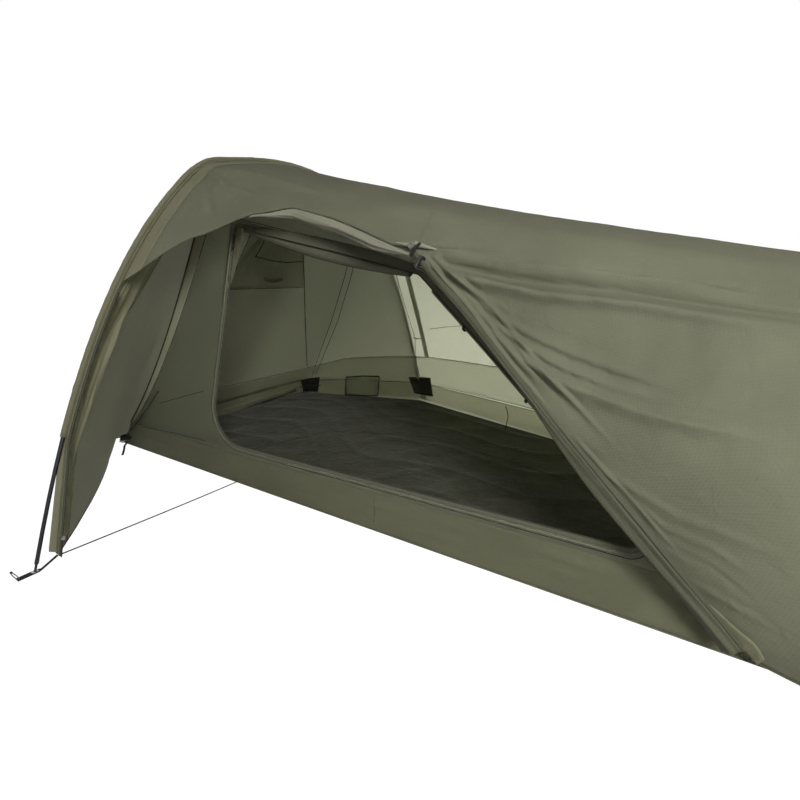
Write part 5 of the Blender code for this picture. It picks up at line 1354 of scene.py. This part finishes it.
def hang(name, grid, lift, hold, nodes):
    """A sheet of the inner tent that hangs inwards in soft waves."""
    grid = grid - normals_of(grid) * (np.maximum(lift, -0.002) * hold)[..., None]
    return cloth(name, grid, INNER, nodes)


def make_inner():
    xs = np.linspace(0.0012, INNER_FOOT_X - 0.0012, 90)
    ts = np.linspace(INNER_CORNER_SHARE + 0.0007, 1 - 0.0004, 120)
    t, x = ts[None, :], xs[:, None]
    grid = grid_of(inner_point, xs, ts)
    lift = waves(grid, (61, 0.20, 0.004), (62, 0.07, 0.0016), (63, 0.035, 0.0006))
    hold = ease((t - INNER_CORNER_SHARE) / 0.03) * ease((1 - t) / 0.03)
    hold = hold * ease(x / 0.04) * ease((INNER_FOOT_X - x) / 0.04)
    far = hang("inner_canopy", grid, lift, hold, ("inner_roof", "inner_far_wall"))

    def head(q, t):
        knots = INNER_CORNER_SHARE, 1 - INNER_CORNER_SHARE, 1.0
        reach = np.maximum(-np.interp(t, knots, (INNER_HEAD_TOP_X, INNER_HEAD_TOP_X, 0)), 0.00126)
        return inner_head_point(mix(0.0012 / reach, 1, q), t)

    ts = np.linspace(INNER_CORNER_SHARE + 0.0005, 1 - 0.008, 120)
    grid = grid_of(head, span(64), ts)
    lift = waves(grid, (71, 0.20, 0.004), (72, 0.08, 0.0018), (73, 0.04, 0.0007))
    hold = held_between(span(64)[:, None], 0.06, 0.06) * ease((ts[None, :] - INNER_CORNER_SHARE) / 0.03)
    ahead = hang("inner_head_canopy", grid, lift, hold, ("inner_head_wall", "inner_far_gusset"))

    def foot(s, t):
        top = inner_point(np.full(np.shape(t), INNER_FOOT_X), t)
        share = (t - INNER_CORNER_SHARE) / (1 - INNER_CORNER_SHARE)
        low_y = mix(near_wall_y(INNER_FOOT_X, BATHTUB_HEIGHT), far_edge_y(INNER_FOOT_X), share)
        return points(INNER_FOOT_X, mix(top[..., 1], low_y, s), mix(top[..., 2], BATHTUB_HEIGHT, s))

    grid = grid_of(foot, span(30), np.linspace(INNER_CORNER_SHARE, 1, 60))
    s = span(30)[:, None]
    grid[..., 0] -= np.maximum(ripples(grid, 81, 0.10, 0.0015), 0) * ease(s / 0.2) * ease((1 - s) / 0.2)
    cloth("inner_foot_panel", grid, INNER, ("inner_foot_wall",))
    return far, ahead


TUB_COUNTS = (110, 40, 80, 40, 50)


def tub_lines():
    """The bathtub wall's lower and upper outlines, corner by corner."""
    lean = [float(near_wall_y(np.array(x), BATHTUB_HEIGHT)) for x in (0.0, INNER_FOOT_X)]
    far = [(INNER_FOOT_X, INNER_FOOT_FAR_Y), (0.0, INNER_HALF_SPAN)]
    low = [(INNER_HEAD_X, INNER_NEAR_Y), (INNER_FOOT_X, INNER_NEAR_Y), *far, (INNER_HEAD_X, INNER_HEAD_FAR_Y)]
    top = [(INNER_HEAD_TOP_X, lean[0]), (INNER_FOOT_X, lean[1]), *far,
           (INNER_HEAD_TOP_X, INNER_HEAD_TOP_FAR_Y)]
    return np.array(low), np.array(top)


def round_the_tub(corners, counts):
    """A closed outline's sides, each cut into its own number of steps."""
    sides = zip(corners, np.roll(corners, -1, axis=0), counts)
    return np.vstack([lerp(a, b, np.linspace(0, 1, count, endpoint=False)) for a, b, count in sides])


def make_bathtub():
    lower, upper = (round_the_tub(corners, TUB_COUNTS) for corners in tub_lines())
    shares = span(13)[:, None]
    x = mix(lower[None, :, 0], upper[None, :, 0], shares)
    y = mix(lower[None, :, 1], upper[None, :, 1], shares)
    grid = points(x, y, mix(0.0007, BATHTUB_HEIGHT - 0.0004, shares) + 0 * x)
    near = grid[..., 1] < -0.3
    wave = waves(grid, (91, 0.09, 0.0085, (0.5, 0.3, 3.2)), (92, 0.035, 0.0030, (0.4, 0.4, 2.6)))
    push = np.maximum(wave, -0.0012) * held_between(shares, 0.2, 0.2)
    grid[..., 1] += np.where(near, -push, 0.3 * np.maximum(push, 0) * -np.sign(grid[..., 1]))
    wall = cloth("bathtub_cloth", grid, TUB_CLOTH, ("bathtub_wall",),
                 wrap=True)

    def floor(x, s):
        far = far_edge_y(np.clip(x, INNER_HEAD_X, INNER_FOOT_X)) + EDGE_GAP
        return points(x, mix(INNER_NEAR_Y - EDGE_GAP, far, s), HALF_FABRIC)

    left = np.linspace(INNER_HEAD_X - EDGE_GAP, 0, 70)
    xs = np.concatenate([left[:-1], np.linspace(0, INNER_FOOT_X + EDGE_GAP, 120)])
    grid = grid_of(floor, xs, span(150))
    x, y = grid[..., 0], grid[..., 1]
    lift = waves(grid, (95, 0.26, 0.007), (96, 0.09, 0.003), (97, 0.045, 0.0013))
    bend = 1.6 * np.sin(4 * x) + 0.9 * np.sin(9 * x + 3 * y)
    lift += 0.0045 * (1 - np.abs(np.sin(17 * y + 2.5 * x + bend))) ** 2
    lift += 0.0030 * np.abs(np.sin(11 * x + 4 * y + 2 * np.sin(5 * y)))
    hold = held_between(span(150)[None, :], 0.08, 0.08)
    hold = hold * ease((x - INNER_HEAD_X) / 0.07) * ease((INNER_FOOT_X - x) / 0.07)
    grid[..., 2] += np.maximum(lift, 0.0) * hold
    return wall, cloth("floor_sheet", grid, FLOOR_CLOTH, ("groundsheet",))


near_panel = make_near_wall()
inner_far, inner_head = make_inner()
tub_wall, floor_sheet = make_bathtub()


# Patches inside the bathtub wall.


def tub_patch(name, k, far, near, gap, material, node):
    """Cloth on the inside of one of the bathtub's sides, between two distances from its end's corner."""
    outlines = zip(tub_lines(), (0.0, BATHTUB_HEIGHT))
    low, top = (np.column_stack([line[k : k + 2], (z, z)]) for line, z in outlines)
    length = math.dist(low[0], low[1])
    inwards = unit(np.cross(top[0] - low[0], unit(low[1] - low[0])))

    def surface(s, z):
        place = lerp(lerp(low[0], low[1], s), lerp(top[0], top[1], s), z / BATHTUB_HEIGHT)
        return place + inwards * (0.0015 + gap)

    shares = np.linspace(1 - far / length, 1 - near / length, 30)
    grid = grid_of(surface, shares, np.linspace(0.010, 0.096, 14))
    sheet(name, grid, material, (node,), CLOTH)


tub_patch("head_patch", 3, 0.045, 0.004, 0.0018, WEBBING, "head_corner_patch")
tub_patch("hoop_patch", 2, 0.055, 0.016, 0.0006, PATCH, "hoop_corner_patch")


# Seams, bindings and bands, laid where the photograph shows them.


def patch_on(name, tree, first, second, rows, material, lift, folds=0.0, seed=0, step=5.0):
    """A piece of cloth sewn on a sheet between two lines of the photograph."""
    count = max(int(max(length_of(first), length_of(second)) / step), 4)
    start, end = pixel_line(first, count), pixel_line(second, count)
    shares = span(rows)
    grid = np.full((rows, count, 3), np.nan)
    facing = np.zeros((rows, count, 3))
    for i, share in enumerate(shares):
        for j in range(count):
            place, normal = meet(tree, *mix(start[j], end[j], share))
            if place is not None:
                grid[i, j], facing[i, j] = place, normal
    hit = ~np.isnan(grid[..., 0])
    good = hit.sum(axis=0) >= max(rows - 2, 2)
    grid, facing, hit = grid[:, good], facing[:, good], hit[:, good]
    for j in np.nonzero(~hit.all(axis=0))[0]:
        own = hit[:, j]
        for a in (grid, facing):
            a[:, j] = along_line(a[own, j], shares[own], shares)
    rise = lift + np.maximum(ripples(grid, seed, 0.05, 1.0), 0.0) * folds
    grid = grid + facing * rise[..., None]
    return sheet(name, grid, material), grid


def piping(name, tree, pixels, radius, material=SEAM_TAPE, lift=0.0012, step=6.0):
    """A cord, binding or seam laid on a sheet along a line of the photograph."""
    spots, _ = trace(tree, pixels, lift, step)
    return tube(name, spots, radius, material)


def make_low_band():
    upper = ((120, 404), (208, 390), (305, 368), (345, 358), (385, 356.5), (430, 357), (500, 367), (600, 387),
             (700, 412))
    lower = ((120, 424), (208, 406), (299, 380.5), (350, 379), (420, 382), (470, 393), (520, 405), (620, 430),
             (720, 462))
    patch_on("inner_low_band", lined, upper, lower, 9, INNER_BAND, 0.0026, 0.0012, seed=5)
    piping("low_band_piping", walls, upper, 0.0013, lift=0.0026)
    piping("tub_seam_piping", lined, lower, 0.0013, lift=0.0036)
    # A less translucent strip where the sleeve's shadow falls through the far wall, which is painted shadow.
    spots, facing = trace(walls, ((404, 262), (410, 285), (417, 312), (423, 338), (427, 357)), 0.0014)
    across = np.cross(np.gradient(spots, axis=0), facing)
    tape("hoop_shadow_band", spots, across, 0.030, TUB_CLOTH, thickness=TRIM_CLOTH)


def make_tub_fittings():
    """The pocket and the two tensioners on the bathtub wall."""
    high, low = ((346.5, 376.5), (363, 375.5), (379.5, 376)), ((345.5, 394), (362, 395), (378, 395.5))
    piece, _ = patch_on("wall_pocket", lined, high, low, 12, MESH_CLOTH, 0.0042, 0.0015, seed=7, step=2.0)
    stand_for(piece, ("inner_pocket",))
    for side, line, radius in (
        ("top", high, 0.0034), ("low", low, 0.0034), ("left", (high[0], low[0]), 0.0030),
        ("right", (high[-1], low[-1]), 0.0030),
    ):
        piping(f"pocket_binding_{side}", lined, line, radius, BLACK_TAPE, 0.0052, 2.0)
    head_panel = ((300, 380), (309, 377.5), (320, 376.5)), ((304, 392), (311, 394.5), (318, 394))
    patch_on("head_tensioner", lined, *head_panel, 6, WEBBING, 0.0050, 0.0030, seed=8, step=1.5)
    bar, bar_2 = ((299, 386), (309, 384), (321, 384.5)), ((303, 391), (311, 390), (319, 391))
    piping("head_tensioner_bar", lined, bar, 0.0026, PLASTIC, 0.0085, 1.5)
    piping("head_tensioner_bar_2", lined, bar_2, 0.0022, PLASTIC, 0.0085, 1.5)
    hoop_panel = ((408.5, 376.5), (419, 376.5), (431, 377.5)), ((414.5, 393), (424, 395), (433.5, 396.5))
    patch_on("hoop_tensioner", lined, *hoop_panel, 8, INNER_ROLL, 0.0045, 0.0012, seed=10, step=1.5)
    bar = ((414, 392), (424, 393.5), (434, 395))
    piping("hoop_tensioner_bar", lined, bar, 0.0030, PLASTIC, 0.0080, 1.5)


def make_wall_seams():
    piping("head_seam", walls, ((302, 236), (304, 280), (305, 320), (307, 366)), 0.0018)
    double = (((350, 256), (344, 278), (332, 318), (320, 352), (312, 376)),
              ((356, 256), (350, 280), (338, 320), (325, 352), (316, 374)))
    for letter, line in zip("ab", double):
        piping(f"corner_seam_{letter}", walls, line, 0.0014, lift=0.0022)
    piping("far_seam", walls, ((430, 329), (445, 327), (480, 324), (520, 322)), 0.0010, OLIVE_TAPE)


def make_vents():
    """The vent's flap, its seams and mouth in the far wall, and the cord that hangs beside it."""
    high, low = ((262, 232), (282, 234), (302, 235)), ((218, 289), (262, 288), (303, 287))
    patch_on("vent_flap", walls, high, low, 12, INNER_BAND, 0.0022, 0.0010, seed=6)
    piping("vent_side", walls, ((266, 233), (262, 244), (255, 256)), 0.0014, lift=0.0036)
    piping("vent_low", walls, ((255, 256), (270, 260), (285, 262), (303, 261)), 0.0014, lift=0.0036)
    piping("vent_hem", walls, ((221, 289), (262, 288), (303, 287)), 0.0012, lift=0.0030)
    mouth = ((263, 277), (273, 278), (283, 277)), ((264, 280), (273, 282), (282, 280))
    patch_on("vent_mouth", walls, *mouth, 3, TUB_CLOTH, 0.0040, step=2.0)
    for name, line in (
        ("vent_cord", ((396, 270), (402, 292), (409, 315), (415.5, 336))),
        ("vent_cord_low", ((416, 338), (416, 350), (417, 362), (420, 375))),
    ):
        piping(name, walls, line, 0.0011, BLACK_CORD, 0.0060)
    spots, _ = trace(walls, ((414.5, 337), (418, 338.2), (423, 338)), 0.0065, 1.0)
    tube("cord_hook", spots, np.linspace(0.0026, 0.0014, len(spots)), PLASTIC)


def make_floor_seams():
    tub = tree_of(tub_wall, floor_sheet)
    loop = ((500, 393), (503, 400), (507, 409), (508.5, 416), (507, 423), (505, 430))
    piping("gear_loop", tub, loop, 0.0018, BLACK_CORD, 0.0024, 3.0)
    # A pale strip along the foot of the tub's head wall, where light glints on its fold. This is painted
    # sheen.
    sheen_edges = ((213, 412), (255, 399.5), (296, 387)), ((213, 418), (255, 405.5), (296, 391))
    patch_on("floor_edge_sheen", tub, *sheen_edges, 4, PALE_TAPE, 0.0022)
    seam = ((230, 455), (330, 431), (430, 437), (560, 478), (640, 505))
    piping("floor_seam", tree_of(floor_sheet), seam, 0.0009)


def make_flap():
    """The vestibule door's free edge, laid back on the fly's inside with its facing showing."""
    flap = tree_of(fly_head)
    left = ((140, 257), (125, 281), (111, 307), (98, 338), (87, 371), (78, 405), (72, 429), (67, 453),
            (64, 475), (62, 493), (60.5, 511), (60, 532))
    right = ((163, 249), (148, 275), (134, 299), (119, 322), (108, 347), (98, 374), (90, 400), (83, 420),
             (76, 442), (71, 470), (67, 500), (63, 530))
    # The facing's paler cloth is painted light.
    piece, grid = patch_on("door_facing", flap, left, right, 26, PAINTED_LIT_FACING, 0.0050, seed=9, step=4.0)
    random = np.random.default_rng(9)
    across, down = span(grid.shape[0])[:, None], span(grid.shape[1])[None, :]
    rise = np.full(grid.shape[:2], -0.12)
    for k in range(9):
        first = 0.18 + 0.66 * random.random()
        bend = np.sin(down * random.uniform(4, 9) + random.uniform(0, 6))
        centre = first + 0.10 * bend
        middle = random.uniform(0.15, 0.75)
        stretch = np.exp(-((down - middle) / random.uniform(0.12, 0.30)) ** 2)
        height = random.uniform(0.5, 1.0) * stretch
        rise += height * np.exp(-((across - centre) / random.uniform(0.05, 0.11)) ** 2)
    facing = unit(np.array(CAMERA_PLACE) - grid)
    normal = normals_of(grid)
    normal = np.where(np.sum(normal * facing, axis=-1, keepdims=True) > 0, normal, -normal)
    moved = grid + normal * (0.0052 * rise * ease(across / 0.1) * ease((1 - across) / 0.1))[..., None]
    piece.data.vertices.foreach_set("co", moved.reshape(-1))
    piece.data.update()
    tube("door_facing_edge", moved[-1], 0.0013, FLY_HEM)


def make_outer_seams():
    s = span(70)
    x = mix(0.0, INNER_HEAD_TOP_X, s)
    head_edge = near_wall_point(x, inner_edge_height(x), -PANEL_HEM_OUT)
    tube("near_panel_piping", head_edge, 0.0030, SEAM_TAPE)
    wide = PANEL_HEM_WIDTH * (1 - 0.62 * s)
    far_y = near_wall_y(x + wide, head_edge[:, 2]) - PANEL_HEM_OUT
    inner_side = points(x + wide, far_y, head_edge[:, 2] - 0.10 * wide)
    sheet("near_panel_hem", between(head_edge, inner_side, np.linspace(0.04, 1, 9)), PANEL_HEM)
    tube("near_panel_seam", inner_side, 0.0009, SEAM_TAPE)
    top_x = np.linspace(0.0, INNER_FOOT_X, 90)
    top_edge = near_wall_point(top_x, inner_edge_height(top_x), -EDGE_GAP)
    tube("near_panel_top_seam", top_edge, HEM_RADIUS, OLIVE_TAPE)
    near = tree_of(near_panel, tub_wall)
    piping("corner_dart", near, ((159, 391), (150, 405), (140, 419), (131, 430)), 0.0022)
    piping("near_wall_seam", near, ((160, 403), (182, 397), (204, 391)), 0.0009)
    piping("tub_corner_seam", near, ((143, 427), (175, 433), (206, 441)), 0.0009)
    piping("tub_joint", near, ((374, 499), (375, 514), (373, 530)), 0.0010, OLIVE_TAPE)
    low, top = tub_lines()
    for name, corners, height in (("tub_top_seam", top, BATHTUB_HEIGHT), ("tub_foot_seam", low, 0.0017)):
        ring = round_the_tub(corners, (40,) * len(corners))
        tube(name, closed(points(ring[:, 0], ring[:, 1], height)), 0.0016, OLIVE_TAPE)
    t = np.linspace(INNER_CORNER_SHARE, 1 - 0.001, 140)
    seam = inner_point(np.zeros(len(t)), t) * (1, 0.9985, 0.9985)
    tape("inner_hoop_seam", seam, AHEAD, 0.012, INNER_BAND, rows=3)


def make_doorway_cloth():
    """Door cloth bunched and draped at the top of the inner doorway."""
    outer = on_near_wall(((233, 222), (230, 246), (227, 270), (223, 300)), 0.0060, 26)
    free = on_near_wall(((253, 228), (245, 247), (237, 266), (224, 300)), 0.0100, 26)
    ripple_sheet("door_flap", between(outer, free, span(12)), INNER, 0.0040, 0.022, 21, (1.0, 0.3, 0.25))
    tube("door_flap_edge", free, 0.0016, SEAM_TAPE)
    outer = on_near_wall(((232.5, 225), (230, 246), (226.5, 272), (222, 304)), -0.0004, 70)
    free = on_near_wall(((242, 227), (240, 248), (234, 274), (223.5, 304)), 0.0004, 70)
    ripple_sheet("door_bunch", between(outer, free, span(16)), SLEEVE, 0.0022, 0.012, 23, (1.0, 0.6, 0.5))
    high = on_near_wall(((243, 225), (299, 233), (345, 243), (379, 252), (413, 263)), -0.0030, 60)
    low = on_near_wall(((250, 231), (299, 243), (345, 254), (379, 262), (414, 270)), -0.0048, 60)
    drape = between(high, low, span(10))
    ripple_sheet("door_top_drape", drape, INNER_ROLL, 0.0014, 0.030, 22, (0.4, 0.4, 1.3))


def beside(place, offsets, count):
    """A smooth line through points at some offsets from a place."""
    return smooth_line([place + offset for offset in offsets], count)


def make_gathers():
    """The gathered corner at the head, the tab and loop at the door's gather, and the roll's facing."""
    corner = np.array((INNER_HEAD_X + 0.014, INNER_NEAR_Y - 0.004, 0.026))
    line = beside(corner, ((0.050, 0.0, 0.006), (0.012, -0.004, 0.004), (-0.014, -0.004, -0.010),
                           (-0.030, -0.002, -0.017)), 40)
    s = span(40)
    radii = 0.0030 + 0.0085 * np.sin(np.pi * np.clip(s * 0.9 + 0.12, 0, 1)) ** 2 + 0.0012 * np.sin(s * 37)
    tube("corner_gather", line, radii, EDGING, sides=20)
    tail = np.array([on_level(x, y, 0.0026) for x, y in ((128, 441), (124.5, 446), (124, 450), (122.5, 455))])
    across = np.cross(np.gradient(tail, axis=0), (0, 0, 1.0))
    tape("corner_tail", tail, across, 0.0070, WEBBING, thickness=0.0014)

    top = np.array((0.652, -0.366, 0.676))
    tab = beside(top, ((-0.002, -0.001, -0.004), (0.002, 0.001, 0.004), (0.011, 0.009, 0.015)), 24)
    tube("gather_tab", tab, 0.0040 - 0.0012 * span(24), BLACK_CORD, sides=12)
    loop = beside(top, ((-0.004, -0.004, 0.003), (-0.009, -0.004, 0.010), (-0.003, -0.004, 0.017),
                        (0.004, -0.002, 0.013)), 24)
    tube("gather_loop", loop, 0.0012, ELASTIC)
    pleats = (((0.650, -0.356, 0.690), (0.700, -0.340, 0.676)),
              ((0.648, -0.358, 0.686), (0.610, -0.366, 0.694)))
    s = span(20)
    for number, (low, high) in enumerate(pleats, 1):
        tube(f"gather_pleat_{number}", lerp(low, high, s), 0.0060 - 0.0048 * s, FOLDED, sides=12)
    facing = (((700, 596), (716, 608), (737, 627), (756, 643), (768, 662)),
              ((706, 611), (722, 626), (738, 644), (752, 658), (758, 668)))
    patch_on("roll_facing", tree_of(fly_canopy), *facing, 6, TAN, 0.0040, 0.002, seed=12)


walls = tree_of(inner_far, inner_head)
lined = tree_of(inner_far, inner_head, tub_wall)
make_low_band()
make_tub_fittings()
make_wall_seams()
make_vents()
make_floor_seams()
make_flap()
make_outer_seams()
make_doorway_cloth()
make_gathers()


# Webbing and peg loops at the pole feet, and the fly's zip.


def tip_foot_y(stations):
    """How far to the side a pole's tip comes down, a little above the ground."""
    axis = stations[0] - stations[1]
    return abs((stations[0] + axis * ((stations[0][2] - STRAP_DROP) / -axis[2]))[1])


def foot_strap(name, x, foot_y, inner_end, hole, node):
    """Webbing under a pole's foot up to the hem, with a hole for the tip and an elastic loop for a peg."""
    side = math.copysign(1, foot_y)
    reaches = STRAP_OUTER_REACH, 0.0, -STRAP_INNER_REACH
    stops = [*((x, foot_y + side * reach, STRAP_LEVEL) for reach in reaches), tuple(inner_end)]
    stretches = zip(stops, stops[1:], (34, 14, 14))
    pieces = [lerp(a, b, np.linspace(0, 1, n, endpoint=False)) for a, b, n in stretches]
    line = np.vstack([*pieces, stops[-1:]])
    taper = 1 - 0.55 * ease((np.arange(len(line)) - 38) / 12)
    grid = np.stack([line + points(STRAP_WIDTH * s * taper, 0, 0) for s in np.linspace(-0.5, 0.5, 17)])
    middle = (grid[:-1, :-1] + grid[1:, 1:]) / 2
    keep = np.hypot(middle[..., 0] - x, middle[..., 1] - foot_y) > hole / 2
    sheet(name, grid, WEBBING, (node,), 0.0015, keep, welded=True)
    centre = np.array((x + 0.004 - PEG_LOOP_REACH, line[0][1] - side * 0.003, STRAP_LEVEL))
    angles = np.linspace(0.35, 2 * np.pi - 0.35, 40)
    loop = centre + points(PEG_LOOP_REACH * np.cos(angles), 0.0024 * np.sin(angles), 0.0)
    cord = tube(name + "_loop", loop, PEG_LOOP_DIAMETER / 2, ELASTIC, sides=10)
    knot = centre + points(np.linspace(-0.0255, -0.0185, 7), 0.0, 0.0005)
    tube(name + "_knot", knot, (0.0014, 0.0022, 0.0025, 0.0023, 0.0025, 0.0021, 0.0013), BLACK_CORD, sides=12)
    round(length_of(loop), 4)


def make_feet():
    foot_y, low_foot_y = tip_foot_y(MAIN_STATIONS), tip_foot_y(FOOT_STATIONS)
    for side, name, share in ((-1, "near", HEM_SHARE), (1, "far", 1 - HEM_SHARE)):
        tab = fly_point(0.0, share) + np.array((0, 0, -STRAP_DROP))
        foot_strap(f"{name}_foot_strap", 0.0, side * foot_y, tab, STRAP_HOLE, f"main_foot_strap_{name}")
    for side, name in ((-1, "near"), (1, "far")):
        tab = (FOOT_HOOP_X, side * (FOOT_HALF_SPAN - 0.022), 0.009)
        foot_strap(f"low_{name}_strap", FOOT_HOOP_X, side * low_foot_y, tab, LOW_STRAP_HOLE,
                   f"foot_pole_strap_{name}")


def make_fly_zip():
    place, outwards = frames_above(MAIN_STATIONS, SLEEVE_END_HEIGHT)
    line = np.vstack([fly_point(0.0, HEM_SHARE), place - outwards * LINING_DEPTH])
    line = with_low_end(line[(line[:, 1] < 0) & (line[:, 2] < 0.600)], 24)
    line[:, 0] += SLEEVE_WIDTH / 2 + CLEARANCE + HALF_FABRIC / 2 + ZIP_TAPE_WIDTH / 2
    tape("door_zip", line, AHEAD, ZIP_TAPE_WIDTH, FLY_HEM, ("fly_zip_tape",), CLOTH, 4)
    tube("door_zip_teeth", line + np.array((0.0052, -0.0006, 0)), 0.0011, SEAM_TAPE)


make_feet()
make_fly_zip()


# Finishes of the CAD's own rigid nodes.

NODE_FINISHES = (
    ("pole_section", BLACK_METAL),
    ("pole_tip", TIP_METAL),
    ("eyelet", LIGHT_METAL),
    ("buckle", LIGHT_METAL),
    ("shock_cord", GREY_CORD),
    ("zip_slider", SLIDER_METAL),
    ("toggle", PLASTIC),
    ("zip_pull", PLASTIC),
)

for name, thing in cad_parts.items():
    for word, material in NODE_FINISHES:
        if word in name:
            for place in thing.material_slots:
                place.material = material


# Floor, light and background.


def make_stage():
    bpy.ops.object.select_all(action="DESELECT")
    bpy.ops.mesh.primitive_plane_add(size=30, location=(0.4, 0.0, -0.0004))
    floor = bpy.context.object
    floor.name = "floor"
    f = Finish("studio_floor")
    join(f.shader, {"Base Color": (0.34, 0.34, 0.34, 1.0), "Roughness": 0.9})
    plain = f.shader.outputs[0]
    white = f.add("MixShader", {0: 0.70, 1: plain, 2: f.add("Emission", {"Strength": 1.42})})
    seen = seen_by(f.tree, "Camera", "Glossy")
    join(f.output, {"Surface": f.add("MixShader", {0: seen, 1: plain, 2: white})})
    floor.data.materials.append(f.material)

    world = bpy.data.worlds.new("studio")
    bpy.context.scene.world = world
    world.use_nodes = True
    seen = seen_by(world.node_tree, "Camera", "Glossy", "Transmission")
    strength = add(world.node_tree, "MapRange", {0: seen, "To Min": 0.115, "To Max": 1.0})
    join(world.node_tree.nodes["Background"], {"Color": (1.0, 1.0, 1.0, 1.0), "Strength": strength})


def lamp(name, place, target, power, size, colour):
    data = bpy.data.lights.new(name, "AREA")
    data.energy = power
    data.size = size
    data.color = colour
    light = bpy.data.objects.new(name, data)
    bpy.context.scene.collection.objects.link(light)
    light.location = place
    light.rotation_euler = (Vector(target) - Vector(place)).to_track_quat("-Z", "Y").to_euler()


make_stage()
lamp("key_lamp", (2.35, -2.0, 1.45), (0.75, -0.2, 0.35), 76, 0.8, (1.0, 0.990, 0.965))
lamp("back_lamp", (1.10, 2.3, 0.50), (0.38, 0.7, 0.32), 72, 0.9, (1.0, 0.995, 0.98))
lamp("fill_lamp", (-2.4, -1.8, 1.5), (-0.1, -0.3, 0.4), 6, 1.6, (1.0, 0.99, 0.97))
bpy.context.scene.view_settings.view_transform = "Standard"
